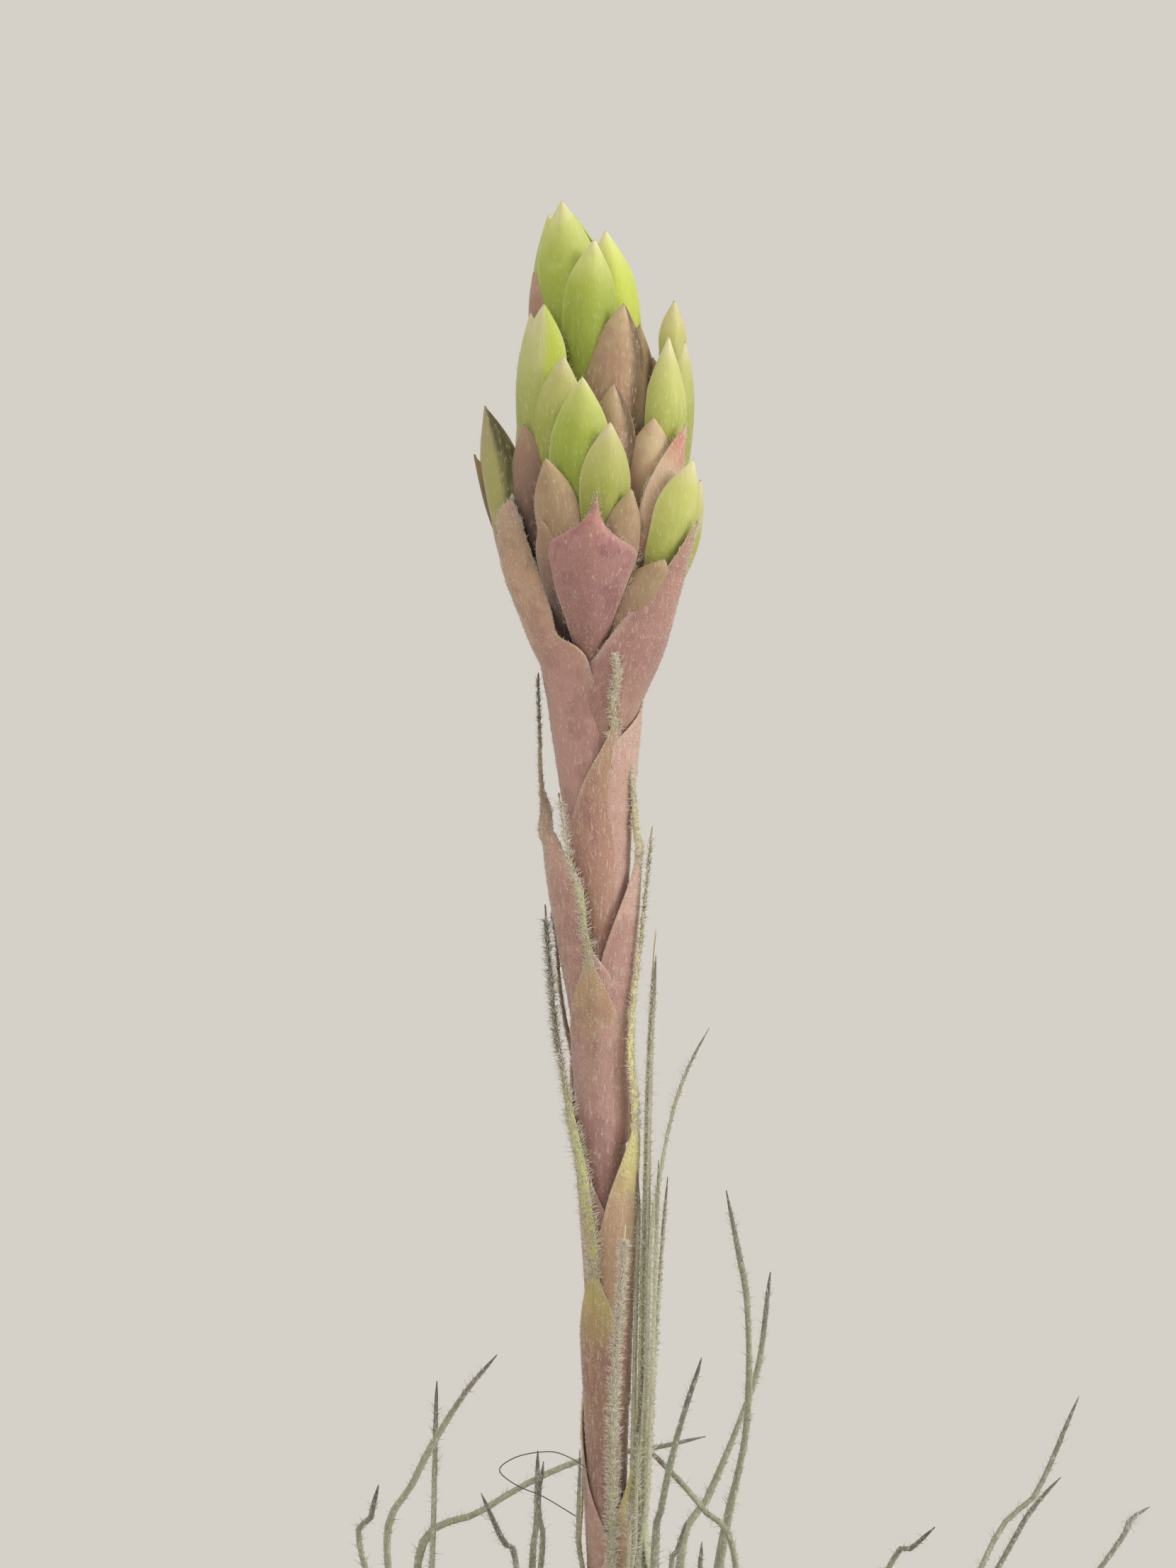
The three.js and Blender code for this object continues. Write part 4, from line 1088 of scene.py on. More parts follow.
def makeCollar(name, plan, seed):
    neckRow = 26
    awnRows = sheathRows - neckRow
    out = azimuthOf(plan["face"])
    neck = view["lowerEdge"] + view["headFoot"] + plan["neck"]
    share = np.linspace(0, 1, neckRow + 1)
    level = neck - plan["length"] * (1 - share)
    below = neck - level
    radius = np.interp(level - view["lowerEdge"], *zip(*outerRadius))
    radius = radius + plan["lift"] - 0.75 * (1 - share)
    radius = radius + plan["splay"] * smoothstep(5, 0, below) ** 2
    shift = plan["shift"] * smoothstep(16, 2, below)
    halfAngle = np.radians(np.interp(below, *zip(*plan["openings"])))
    first = stalkAt(level[-1]) + out * (radius[-1] + shift[-1])
    spine = routeThrough([first] + [inHead(*point) for point in plan["path"]], awnRows + 1)
    steps = np.linalg.norm(np.diff(spine, axis=0), axis=1)
    fromTip = np.concatenate([np.cumsum(steps[::-1])[::-1], [0.0]])
    bladeHalf = np.interp(fromTip, *zip(*plan["halves"]))
    everyRow = np.arange(sheathRows + 1)
    swivel = np.radians(plan.get("turnTo", plan["face"]) - plan["face"])
    heading = np.radians(plan["face"]) + swivel * smoothstep(neckRow, 44, everyRow)
    facing = np.stack([np.cos(heading), np.sin(heading), np.zeros(sheathRows + 1)], axis=1)
    piece, places, row, u, along, across, normal = makeSheathed(
        name, out, level, radius, halfAngle, spine, bladeHalf, 1.0, plan["skin"],
        wallOf["collar"], seed, tuck=plan["tuck"], facing=facing, shift=shift)
    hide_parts(plan["node"])
    sheathDown(places, row, along, normal, row > 2, 1800, (0.15, 0.42), [0.7, 0.3, 0], seed)
    sheathDown(places, row, along, normal, (np.abs(u) > 0.93) & (row > 12), 300, (0.2, 0.5),
               [0.8, 0.2, 0], seed + 500, (0.018, 0.026), 0.2)


for number, (name, plan) in enumerate(collars.items()):
    makeCollar(name, plan, firstSeed["collar"] + number)

# the hearts of the spikes, coloured dark as painted shade, seen only down the gaps between them
shadedHeartSkin = Finish("spikeHeartShade", Roughness=0.8)
heartGrain = shadedHeartSkin.noise(1100.0, 3.0, (1, 1, 0.2))
shadedHeartSkin.set("Base Color", shadedHeartSkin.ramp(heartGrain,
                                           [(0.3, tint(54, 36, 32)), (0.7, tint(88, 62, 50))]))
shadedHeartSkin.relief(heartGrain, 0.5, 0.0001)
hearts = {
    "top": dict(foot=(0.4, -1, 0.8), tip=(-0.4, 31, 1.2)),
    "left": dict(foot=(-1.4, -1, -0.6), tip=(-4.2, 24, -0.9)),
    "front": dict(foot=(0.0, -1, -1.0), tip=(-0.4, 18, -4.4)),
    "right": dict(foot=(1.4, -1, -0.2), tip=(6.4, 24, 0.4)),
    "lowRight": dict(foot=(1.8, -3, -0.6), tip=(7.2, 11, -2.8)),
    "lowLeft": dict(foot=(-2.0, -2, -0.4), tip=(-7.4, 16, -0.2)),
    "backLeft": dict(foot=(-0.6, -1, 1.0), tip=(-3.6, 21, 4.6)),
    "backRight": dict(foot=(0.6, -1, 1.0), tip=(3.6, 22, 4.6)),
}
heartRadius = 1.5
for name, plan in hearts.items():
    foot, tip = inHead(*plan["foot"]), inHead(*plan["tip"])
    heartRoute = routeThrough([foot, foot * 0.5 + tip * 0.5, tip], shootRows + 1)
    v = np.linspace(0, 1, shootRows + 1)
    wide = heartRadius * np.interp(v, [0, 0.25, 0.7, 0.92, 1], [0.7, 1, 1, 0.6, 0.1])
    heartPlaces, *_ = shootPlaces(heartRoute, azimuthOf(270), wide, wide)
    heart = placeCopy(shootMaster, name + "Heart", heartPlaces, shadedHeartSkin.material)
    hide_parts(headOf[name])
growAll("bractDown", downBeds, True, firstSeed["bractDown"])
downBeds.clear()
print("flower stalk ready")

# rosette

stemLow, stemHigh = (Vector(corner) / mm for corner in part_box("stem"))
stemMiddle = (stemLow.z + stemHigh.z) / 2
stemHalf = (stemHigh.z - stemLow.z) / 2
stemRadius = (stemHigh.x - stemLow.x) / 2


def stemRadiusAt(level):
    share = (level - stemLow.z) / (stemHigh.z - stemLow.z)
    return stemRadius * float(np.interp(share, [0, 0.1, 0.3, 0.5, 0.7, 0.86, 0.95, 1],
                                        [0.6, 0.8, 0.97, 1, 0.9, 0.72, 0.6, 0.5]))


leafShape = {"half": 2.7, "tipHalf": 0.4, "thick": 0.5, "tipThick": 0.3}


def makeLeaf(name, route, seed, hairs=9.0, node=None, slim=1.0, skin=None, fluff=(0.5, 0.2, 0.3)):
    rng = np.random.default_rng(seed)
    rows = shootRows + 1
    centre = routeThrough(route, rows)
    v = np.linspace(0, 1, rows)
    length = np.linalg.norm(np.diff(centre, axis=0), axis=1).sum()
    sway = rng.normal(0, 1, (5, 3))
    wave = sum(sway[k] * np.sin((k + 1.5) * math.pi * v + sway[k][0])[:, None] / (k + 2)
               for k in range(5))
    level = smoothstep(0.1, 0.5, v) * smoothstep(1.0, 0.93, v)  # no sway at the foot or the tip
    centre = centre + wave * 0.28 * level[:, None]
    half = leafShape["tipHalf"] + (leafShape["half"] - leafShape["tipHalf"]) * (1 - v) ** 2.6
    half = half * (1 + 0.08 * np.sin(v * 40 + rng.uniform(0, 6)))
    half = half * np.interp(v, [0, 0.93, 0.985, 1], [1, 0.85, 0.5, 0.15])
    thick = np.interp(v, [0, 0.3, 1], [leafShape["thick"], 0.42, leafShape["tipThick"]])
    thick = thick * np.interp(v, [0, 0.93, 0.985, 1], [1, 0.9, 0.6, 0.2])
    narrow = 1 - (1 - slim) * smoothstep(0.2, 0.6, v)
    half, thick = half * narrow, thick * narrow
    toStem = centre[0] - np.array([0, 0, centre[0][2]])
    facing = unit(toStem) * -0.5 + np.array([0, 0, 1.0])
    places, row, flat, along, across, outward = shootPlaces(centre, facing, half, thick)
    piece = placeCopy(shootMaster, name, places, skin or leafSkins[rng.integers(3)])
    uvUpTheShoot(piece)
    if node:
        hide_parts(node)
    count = int(hairs * length)  # hairs to the mm
    at = rng.uniform(0.04, 0.965, count) ** 0.85
    r = np.minimum((at * (rows - 1)).astype(int), rows - 2)
    part = at * (rows - 1) - r
    spot = centre[r] * (1 - part[:, None]) + centre[r + 1] * part[:, None]
    turn = rng.uniform(0, 2 * math.pi, count)
    aside = across[r] * np.cos(turn)[:, None]
    rise = outward[r] * np.sin(turn)[:, None]
    root = spot + aside * half[r][:, None] * 0.95 + rise * thick[r][:, None] * 0.95
    aim = aside + rise + along[r] * rng.uniform(0.2, 1.3, (count, 1)) + rng.normal(0, 0.25, (count, 3))
    downBeds.append({
        "root": root, "aim": unit(aim), "length": rng.uniform(0.3, 1.0, count) ** 1.3,
        "radius": rng.uniform(0.02, 0.034, count), "mix": fluff, "seed": seed})


# the leaves that rise into the front view, as points seen from there, at one depth each;
# each starts at a share of the stem's height, towards an azimuth
tallLeaves = [
    dict(node="leaf_01", at=0.95, face=-22, depth=-2.0, slim=0.55, hairs=20, skin=strandSkin,
         fluff=(0.8, 0.2, 0.0), path=[(4.0, 2), (4.05, 20), (4.36, 29.6), (5.0, 33.9), (5.53, 37.1),
                                      (6.42, 41.1), (7.68, 44.5), (9.4, 47.6)]),
    dict(node="leaf_02", at=0.95, face=50, depth=24, skin=leafSkins[1],
         path=[(10.4, 0), (12.6, 12), (12.8, 22.7), (12.0, 28), (10.9, 33.3)]),
    dict(node="leaf_06", at=0.8, face=72, depth=30, skin=leafSkins[1],
         path=[(7.0, 1), (9.2, 5.8), (12.1, 12.8), (13.8, 18), (14.8, 26.1)]),
    dict(node="leaf_05", at=0.95, face=285, depth=-12,
         path=[(4.6, 1), (5.3, 5.3), (6.8, 11.4), (8.75, 18.6)]),
    dict(node="leaf_03", at=0.95, face=122, depth=8, path=[(-6.2, 0), (-5.9, 4), (-5.7, 10.4)]),
    dict(node="leaf_04", at=0.95, face=205, depth=-12,
         path=[(-18.9, 0), (-16.5, 7.6), (-12.3, 15.1), (-9.3, 18.8)]),
    dict(node="leaf_07", at=0.8, face=150, depth=9,
         path=[(-16.2, 0), (-10.4, 5.1), (-2.3, 9.3), (5.25, 10.8), (9.1, 11.6)]),
    dict(node="leaf_08", at=0.8, face=238, depth=-20, path=[(-20.9, 0), (-20.3, 4.6), (-19.75, 7.3)]),
    dict(node="leaf_09", at=0.8, face=305, depth=-14, path=[(24.5, -1.5), (27.4, 1.75), (29.3, 3.6)]),
    dict(node="leaf_10", at=0.8, face=18, depth=8, path=[(34.7, 0), (37.6, 5), (40.4, 8)]),
    dict(node="leaf_11", at=0.6, face=185, depth=4, path=[(-15.2, 0), (-14.9, 8), (-14.6, 16.5)]),
    dict(node="leaf_12", at=0.6, face=340, depth=-6,
         path=[(33.4, 0), (38, 6.3), (40.75, 12.4), (42, 15.1)]),
    dict(node="leaf_13", at=0.62, face=40, depth=36, path=[(43.8, 0), (46.2, 4.0), (48.25, 5.4)]),
    dict(node=None, at=0.9, face=15, depth=5, path=[(11.8, 0), (8.9, 5.2), (5.25, 9.3), (2.6, 11.6)]),
    dict(node=None, at=0.9, face=330, depth=-7, path=[(6.4, -2), (6.7, 1.5), (7.4, 4.1)]),
    dict(node=None, at=0.88, face=350, depth=-4, path=[(8.8, -3), (8.75, 2.3)]),
    dict(node=None, at=0.88, face=250, depth=-9, path=[(-7.5, -1), (-8.8, 2.4), (-10.7, 6.6)]),
    dict(node=None, at=0.92, face=165, depth=5, path=[(-5.5, 0), (-5.4, 5), (-5.2, 9.4)]),
    dict(node=None, at=0.97, face=205, depth=-1.2, slim=0.5, skin=leafSkins[1],
         path=[(-2.15, -3), (-2.15, 2), (-2.1, 6), (-2.0, 10.5)]),
    dict(node=None, at=0.99, face=345, depth=-1.6, slim=0.6, hairs=26, skin=strandSkin,
         fluff=(0.8, 0.2, 0.0), path=[(4.0, -3), (4.1, 14), (4.0, 28), (4.35, 44), (4.7, 54)]),
    dict(node=None, at=0.99, face=5, depth=-0.2, slim=0.55, hairs=26, skin=strandSkin,
         fluff=(0.8, 0.2, 0.0), path=[(3.6, -3), (4.2, 12), (5.15, 27), (5.75, 34.5)]),
    dict(node=None, at=0.99, face=325, depth=-2.6, slim=0.55, hairs=26, skin=strandSkin,
         fluff=(0.8, 0.2, 0.0), path=[(3.6, -4), (4.2, 8), (4.7, 24), (4.95, 36)]),
    dict(node=None, at=0.99, face=336, depth=-1.4, slim=0.6, hairs=26, skin=strandSkin,
         fluff=(0.7, 0.3, 0.0), path=[(2.75, -5), (2.85, 6), (2.95, 16), (3.0, 26), (3.1, 35)]),
    dict(node=None, at=0.99, face=312, depth=-3.4, slim=0.5, hairs=26, skin=strandSkin,
         fluff=(0.7, 0.3, 0.0), path=[(2.7, -5), (3.1, 3), (3.35, 13)]),
    dict(node=None, at=0.99, face=300, depth=-4.2, slim=0.5, hairs=26, skin=strandSkin,
         fluff=(0.7, 0.3, 0.0), path=[(2.2, -6), (2.5, 1), (2.5, 7)]),
]


def footOf(at, face):
    level = stemLow.z + at * (stemHigh.z - stemLow.z)
    out = azimuthOf(face)
    return out * (stemRadiusAt(level) + 0.2) + np.array([0, 0, level]), out


for number, plan in enumerate(tallLeaves):
    foot, out = footOf(plan["at"], plan["face"])
    ease = np.linspace(0.75, 1, len(plan["path"]))
    seen = [seenAt(x, height, plan["depth"] * e) for e, (x, height) in zip(ease, plan["path"])]
    lowest = seen[0]
    rise = np.linalg.norm(lowest - foot)
    guide = foot + unit(out * 0.6 + unit(lowest - foot) * 1.0) * rise * 0.35
    makeLeaf(f"tallLeaf{number + 1:02d}", [foot, guide] + seen, firstSeed["tallLeaf"] + number,
             hairs=plan.get("hairs", 12), node=plan["node"], slim=plan.get("slim", 0.8),
             skin=plan.get("skin"), fluff=plan.get("fluff", (0.5, 0.2, 0.3)))

# the spreading leaves that reach the rosette's full width
outerLeaves = [
    dict(node="leaf_14", at=0.6, face=90, rise=12, tip=(4.5, 71.6, 104)),
    dict(node="leaf_15", at=0.6, face=270, rise=10, tip=(-6, -71.6, 101)),
    dict(node="leaf_16", at=0.36, face=8, rise=0, tip=(74.6, -4.5, 87.6)),
    dict(node="leaf_17", at=0.36, face=128, rise=2, tip=(-46, 56.5, 92)),
    dict(node="leaf_18", at=0.36, face=172, rise=4, tip=(-74.6, -1.5, 93.6)),
    dict(node="leaf_19", at=0.36, face=246, rise=-4, tip=(-43, -56.5, 78.8)),
    dict(node="leaf_20", at=0.14, face=52, rise=-14, tip=(46, 44.6, 49)),
    dict(node="leaf_21", at=0.14, face=294, rise=-16, tip=(37, -49, 46.2)),
]
for number, plan in enumerate(outerLeaves):
    foot, out = footOf(plan["at"], plan["face"])
    tip = np.array(plan["tip"], float)
    rise = math.radians(plan["rise"])
    start = out * math.cos(rise) + np.array([0, 0, math.sin(rise)])
    reach = np.linalg.norm(tip - foot)
    route = [foot, foot + start * reach * 0.3, foot * 0.3 + tip * 0.7 + [0, 0, 1.5], tip]
    makeLeaf(f"outerLeaf{number + 1:02d}", route, firstSeed["outerLeaf"] + number, node=plan["node"])

# the rest of the rosette, wound up the stem by the golden angle
rosette = {
    "count": 62, "golden": 137.508, "seed": 21,
    "lowest": 0.1, "highest": 0.9,    # shares of the stem's height
    "shortest": 54, "longest": 70,
    "rise": (-34, 28),                # degrees, of the lowest and the highest leaf
    "prongs": (90, 210, 330), "clear": 26, "ceiling": 111.0,
}
rng = random.Random(rosette["seed"])
for number in range(rosette["count"]):
    share = number / (rosette["count"] - 1)
    at = rosette["lowest"] + (rosette["highest"] - rosette["lowest"]) * share
    face = number * rosette["golden"] + rng.uniform(-9, 9)
    level = stemLow.z + at * (stemHigh.z - stemLow.z)
    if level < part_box("cradle_prong_1")[1][2] / mm + 3:  # keep off the three prongs
        for prong in rosette["prongs"]:
            gap = (face - prong + 180) % 360 - 180
            if abs(gap) < rosette["clear"]:
                face = prong + math.copysign(rosette["clear"], gap)
    lowRise, highRise = rosette["rise"]
    rise = lowRise + (highRise - lowRise) * share + rng.uniform(-8, 8)
    foot, out = footOf(at, face)
    reach = rng.uniform(rosette["shortest"], rosette["longest"])
    droop = rng.uniform(-9, 4)
    swing = azimuthOf(face + 90) * rng.uniform(-9, 9)
    flatWay, upWay = math.cos(math.radians(rise)), math.sin(math.radians(rise))
    start = out * flatWay + np.array([0, 0, upWay])
    middle = foot + start * reach * 0.5 + swing * 0.25
    tip = foot + start * reach + swing + np.array([0, 0, droop])
    tip[2] = min(tip[2], rosette["ceiling"])
    route = [foot, foot + start * reach * 0.2, middle, tip]
    makeLeaf(f"rosetteLeaf{number + 1:02d}", route, firstSeed["rosetteLeaf"] + number, hairs=8.0)

# a loose dry fibre, looped out to the left of the stalk
fibreSkin = Finish("looseFibre", Roughness=0.7)
fibreSkin.set("Base Color", fibreSkin.ramp(fibreSkin.noise(900.0),
                                           [(0.3, tint(74, 66, 60)), (0.7, tint(112, 102, 92))]))
fibre = [(-1.0, 7.2, -3.6), (-1.4, 8.75, -3.5), (-3.75, 10.1, -2.6), (-5.7, 10.2, -1.6),
         (-7.8, 9.7, -0.6), (-9.1, 8.6, 0.6), (-7.5, 7.25, 1.6), (-5.25, 6.3, 1.0), (-2.4, 4.6, -1.2)]
fibreRoute = routeThrough([seenAt(*point) for point in fibre], shootRows + 1)
thin = np.full(shootRows + 1, 0.05)
fibrePlaces, *_ = shootPlaces(fibreRoute, azimuthOf(270), thin, thin)
fibrePiece = placeCopy(shootMaster, "looseFibre", fibrePlaces, fibreSkin.material)
uvUpTheShoot(fibrePiece)

growAll("leafDown", downBeds, False, firstSeed["leafDown"])
downBeds.clear()

stemSkin = Finish("stemSkin", Roughness=0.85)
stemNoise = stemSkin.noise(700.0, 4.0, (1, 1, 0.35))
stemFlakes = stemSkin.node("ShaderNodeTexVoronoi", Vector=stemSkin.objectPlace((1, 1, 0.5)),
                           Scale=420.0)
stemSkin.set("Base Color", stemSkin.ramp(stemNoise,
                                         [(0.25, tint(92, 72, 52)), (0.55, tint(140, 116, 84)),
                                          (0.8, tint(178, 158, 122))]))
stemSkin.relief(stemNoise + stemFlakes, 0.8, 0.0004)


def makeShortStem():
    clearSelection()
    bpy.ops.mesh.primitive_uv_sphere_add(segments=40, ring_count=28, radius=1, location=(0, 0, 0))
    piece = bpy.context.object
    piece.name = "shortStem"
    places = vertexArray(piece.data)
    level = stemMiddle + places[:, 2] * (stemHalf - 0.05)
    around = np.arctan2(places[:, 1], places[:, 0])
    radius = np.array([stemRadiusAt(z) for z in level]) * 0.97
    radius = radius * (1 - smoothstep(0.9, 1.0, np.abs(places[:, 2])) * 0.6)
    radius = radius * (1 + 0.03 * np.sin(around * 9 + level * 1.3))
    radius[np.abs(places[:, 2]) > 0.9999] = 0
    shaped = np.stack([np.cos(around) * radius, np.sin(around) * radius, level], 1) * mm
    piece.data.vertices.foreach_set("co", shaped.ravel())
    piece.data.materials.append(stemSkin.material)
    bpy.ops.object.shade_smooth()
    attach(piece, "root")
    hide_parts("stem")


makeShortStem()
print("rosette ready")

# stand

woodSkin = Finish("oiledWood", Roughness=0.42)
woodPlace = woodSkin.objectPlace((1.0, 0.16, 1.0))
woodWarp = woodSkin.node("ShaderNodeTexNoise", Vector=woodPlace, Scale=60.0, Detail=3.0)
woodCentre = woodSkin.node("ShaderNodeMapping", Vector=woodSkin.node("ShaderNodeTexCoord", output=3),
                           Location=(0.03, 0, 0.05))
woodRings = woodSkin.node("ShaderNodeTexWave", {"wave_type": "RINGS", "rings_direction": "Y"},
                          Vector=woodCentre, Scale=110.0, Distortion=2.4, Detail=2.0)
woodPores = woodSkin.node("ShaderNodeTexNoise", Vector=woodPlace, Scale=1500.0, Detail=3.0)
woodTone = woodRings * 0.28 + woodWarp * 0.72
woodColour = woodSkin.ramp(woodTone, [(0.25, tint(122, 84, 54)), (0.5, tint(148, 106, 70)),
                                      (0.78, tint(170, 126, 88))])
woodColour = woodSkin.blend(woodSkin.step(woodPores, 0.58, 0.7) * 0.5, woodColour, tint(84, 54, 34))
woodSkin.set("Base Color", woodColour)
woodSkin.set("Roughness", 0.36 + woodPores * 0.25)
woodSkin.relief(woodPores + woodRings * 0.3, 0.3, 0.00008)
woodSkin.shader.inputs["Coat Weight"].default_value = 0.12

steelSkin = Finish("satinSteel", Metallic=1.0, Roughness=0.3)
steelBrush = steelSkin.noise(3000.0, 2.0, (1, 1, 0.04))
steelSkin.set("Base Color", steelSkin.ramp(steelBrush,
                                           [(0.3, tint(176, 176, 178)), (0.7, tint(206, 206, 206))]))
steelSkin.set("Roughness", 0.24 + steelBrush * 0.2)
steelSkin.relief(steelBrush, 0.15, 0.00003)

feltSkin = Finish("pressedFelt", Roughness=0.95)
feltNoise = feltSkin.noise(2600.0, 5.0)
feltSkin.set("Base Color", feltSkin.ramp(feltNoise,
                                         [(0.3, tint(70, 66, 62)), (0.7, tint(112, 106, 98))]))
feltSkin.relief(feltNoise, 0.8, 0.0002)


def boxOf(node):
    low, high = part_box(node)
    return Vector(low), Vector(high)


def takeEdit(piece):
    clearSelection()
    piece.select_set(True)
    bpy.context.view_layer.objects.active = piece
    bpy.ops.object.mode_set(mode="EDIT")
    bpy.ops.mesh.select_all(action="DESELECT")


def selectFaces(piece, test):
    bpy.ops.mesh.select_mode(type="FACE")
    shape = bmesh.from_edit_mesh(piece.data)
    for face in shape.faces:
        face.select = test(face)
    bmesh.update_edit_mesh(piece.data)


def selectEdges(piece, test):
    bpy.ops.mesh.select_mode(type="EDGE")
    shape = bmesh.from_edit_mesh(piece.data)
    for edge in shape.edges:
        edge.select = test(edge)
    bmesh.update_edit_mesh(piece.data)


def settle(piece, name, skin, node):
    bpy.ops.object.mode_set(mode="OBJECT")
    bpy.ops.object.transform_apply(location=True, rotation=True, scale=True)
    bpy.ops.object.shade_smooth_by_angle(angle=math.radians(35))
    piece.name = name
    piece.data.name = name
    piece.data.materials.clear()
    piece.data.materials.append(skin)
    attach(piece, "root")
    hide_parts(node)


def primitiveFor(node, sides, turn=0.0):
    # a cylinder as wide and tall as the node, on the post's axis, opened in edit mode
    low, high = boxOf(node)
    clearSelection()
    bpy.ops.mesh.primitive_cylinder_add(
        vertices=sides, radius=(high.x - low.x) / 2, depth=high.z - low.z,
        location=(0, 0, (high.z + low.z) / 2), rotation=(0, 0, math.radians(turn)))
    piece = bpy.context.object
    takeEdit(piece)
    return piece, (high.x - low.x) / 2, (high.z - low.z) / 2


def makeDisc(name, plan):
    piece, radius, half = primitiveFor(plan["node"], plan["sides"])

    def onRim(edge, side):
        return all(abs(v.co.z - side * half) < 1e-6 and v.co.xy.length > radius * 0.9
                   for v in edge.verts)

    for side, bevel in ((1, plan["topBevel"]), (-1, plan["bottomBevel"])):
        if bevel:
            selectEdges(piece, lambda edge: onRim(edge, side))
            bpy.ops.mesh.bevel(offset=bevel, segments=6, affect="EDGES")
    bore, depth = plan.get("bore"), plan.get("boreDepth")
    if bore:
        for way in ((-1,) if depth else (1, -1)):
            selectFaces(piece, lambda f: abs(f.normal.z - way) < 1e-3 and len(f.verts) > 8)
            face = [f for f in bmesh.from_edit_mesh(piece.data).faces if f.select]
            inner = min(v.co.xy.length for f in face for v in f.verts)
            bpy.ops.mesh.inset(thickness=inner - bore)
            if depth:
                bpy.ops.mesh.extrude_region_move(TRANSFORM_OT_translate={"value": (0, 0, depth)})
    if bore and not depth:  # right through
        bpy.ops.mesh.select_all(action="DESELECT")
        selectFaces(piece, lambda f: len(f.verts) > 8 and f.calc_center_median().xy.length < 1e-5)
        bpy.ops.mesh.bridge_edge_loops()
    settle(piece, name, plan["skin"].material, plan["node"])


# the stand's round pieces, in metres; a bore goes boreDepth up from below, or right through
discs = {
    "feltPad": dict(node="base_pad", skin=feltSkin, slot="felt", sides=96, topBevel=0.0005,
                    bottomBevel=0),
    "woodBase": dict(node="base", skin=woodSkin, slot="base_wood", sides=160, topBevel=0.005,
                     bottomBevel=0.002, bore=0.007, boreDepth=0.006),
    "steelCollar": dict(node="post_collar", skin=steelSkin, slot="steel", sides=64, topBevel=0.0012,
                        bottomBevel=0, bore=0.0023),
    "cradleHub": dict(node="cradle_hub", skin=steelSkin, slot="steel", sides=64, topBevel=0.0008,
                      bottomBevel=0.0005, bore=0.0023, boreDepth=0.004),
    "underWasher": dict(node="post_washer", skin=steelSkin, slot="steel", sides=48, topBevel=0.0001,
                        bottomBevel=0.0001, bore=0.0023),
}
for name, plan in discs.items():
    makeDisc(name, plan)


def makePost():
    piece, radius, half = primitiveFor("post", 48)
    selectEdges(piece, lambda e: all(abs(abs(v.co.z) - half) < 1e-6 for v in e.verts))
    bpy.ops.mesh.bevel(offset=0.0003, segments=3, affect="EDGES")
    settle(piece, "steelPost", steelSkin.material, "post")


nut = {"hole": 0.0023, "corners": 0.0035, "bevel": 0.00025}


def makeNut():
    piece, radius, half = primitiveFor("post_nut", 6, 30)
    low, high = boxOf("post_nut")
    selectFaces(piece, lambda f: abs(abs(f.normal.z) - 1) < 1e-3)
    bpy.ops.mesh.inset(thickness=(high.y - low.y) / 2 - nut["hole"])
    bpy.ops.mesh.bridge_edge_loops()
    selectEdges(piece, lambda e: all(abs(abs(v.co.z) - half) < 1e-6 and v.co.xy.length > nut["corners"]
                                     for v in e.verts))
    bpy.ops.mesh.bevel(offset=nut["bevel"], segments=2, affect="EDGES")
    settle(piece, "underNut", steelSkin.material, "post_nut")


prongWire = {"radius": 0.0009, "gap": 0.0003, "inHub": 0.0019}  # the gap is to the stem


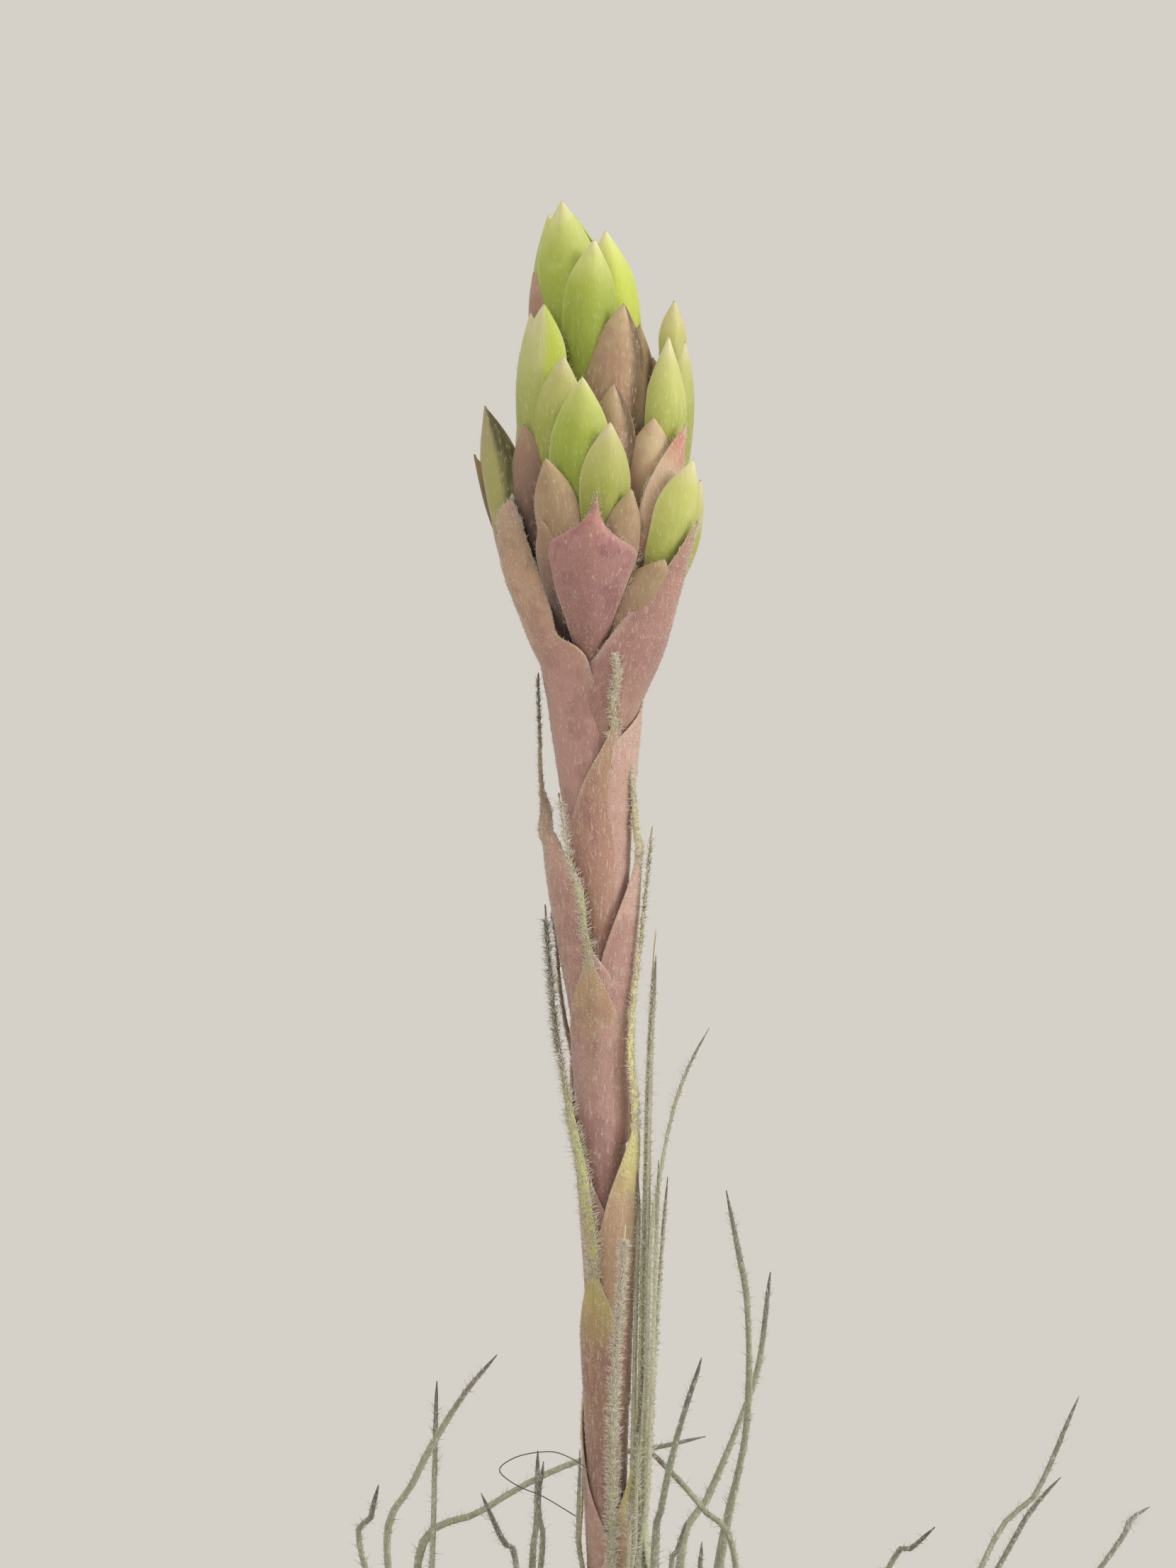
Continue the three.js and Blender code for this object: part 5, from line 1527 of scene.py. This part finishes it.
def makeProng(number, azimuth):
    node = f"cradle_prong_{number}"
    low, high = boxOf(node)
    wire = prongWire["radius"]
    hubLow, hubHigh = boxOf("cradle_hub")
    reach = stemRadius * mm + prongWire["gap"] + wire
    out = Vector(azimuthOf(azimuth))
    foot = low.z + wire
    top = high.z - wire * 0.4
    stops = [((hubHigh.x - hubLow.x) / 2 - prongWire["inHub"], foot), (reach - 0.0032, foot),
             (reach - 0.0011, foot + 0.0009), (reach, foot + 0.0032), (reach, (foot + top) / 2),
             (reach, top - 0.0055), (reach + 0.0006, top - 0.0022), (reach + 0.0019, top - 0.0004)]
    route = routeThrough([np.array(out * r + Vector((0, 0, z))) / mm for r, z in stops], shootRows + 1)
    v = np.linspace(0, 1, shootRows + 1)
    thickness = wire / mm * np.interp(v, [0, 0.965, 0.985, 1], [1, 1, 0.8, 0.3])
    places, *_ = shootPlaces(route, azimuthOf(azimuth + 90), thickness, thickness)
    piece = placeCopy(shootMaster, f"cradleProng{number}", places, steelSkin.material)
    applyModifier(piece, "soften", "SUBSURF", levels=1, render_levels=1)
    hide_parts(node)


makePost()
makeNut()
for number, azimuth in enumerate(rosette["prongs"]):
    makeProng(number + 1, azimuth)
print("stand ready")

for master in (sheetMaster, sheathMaster, shootMaster):
    bpy.data.objects.remove(master)

# floor, light and camera

floorSkin = Finish("paleFloor", Roughness=0.8)
floorSkin.set("Base Color", tint(208, 204, 197))
clearSelection()
bpy.ops.mesh.primitive_cylinder_add(vertices=128, radius=0.8, depth=0.004, location=(0, 0, -0.002))
floor = bpy.context.object
floor.name = "floor"
floor.data.materials.append(floorSkin.material)
bpy.ops.object.transform_apply(location=True)

world = bpy.data.worlds.new("softGrey")
scene.world = world
world.use_nodes = True
world.node_tree.nodes["Background"].inputs["Color"].default_value = tint(213, 208, 200)
world.node_tree.nodes["Background"].inputs["Strength"].default_value = 1.0


lights = {
    "window": dict(place=(0.68, -0.24, 0.5), size=0.35, power=3.6, colour=(1.0, 0.985, 0.96)),
    "sky": dict(place=(-0.3, -0.55, 0.6), size=0.5, power=1.2, colour=(0.98, 0.99, 1.0)),
}
plantMiddle = Vector((0, 0, 0.19))
for name, plan in lights.items():
    lamp = bpy.data.lights.new(name, "AREA")
    lamp.shape = "DISK"
    lamp.size = plan["size"]
    lamp.energy = plan["power"]
    lamp.color = plan["colour"]
    holder = bpy.data.objects.new(name, lamp)
    scene.collection.objects.link(holder)
    holder.location = plan["place"]
    holder.rotation_euler = (plantMiddle - Vector(plan["place"])).to_track_quat("-Z", "Y").to_euler()

lens = bpy.data.cameras.new("front")
lens.sensor_fit = "VERTICAL"
lens.sensor_height = 24.0
lens.lens = lens.sensor_height * view["distance"] / view["height"]
lens.clip_start = 0.01
lens.clip_end = 20
lens.dof.use_dof = False
camera = bpy.data.objects.new("front", lens)
scene.collection.objects.link(camera)
camera.location = Vector((view["centreX"], -view["distance"], view["centreZ"])) * mm
camera.rotation_euler = (math.radians(90), 0, 0)
scene.camera = camera
print("floor, light and camera ready")
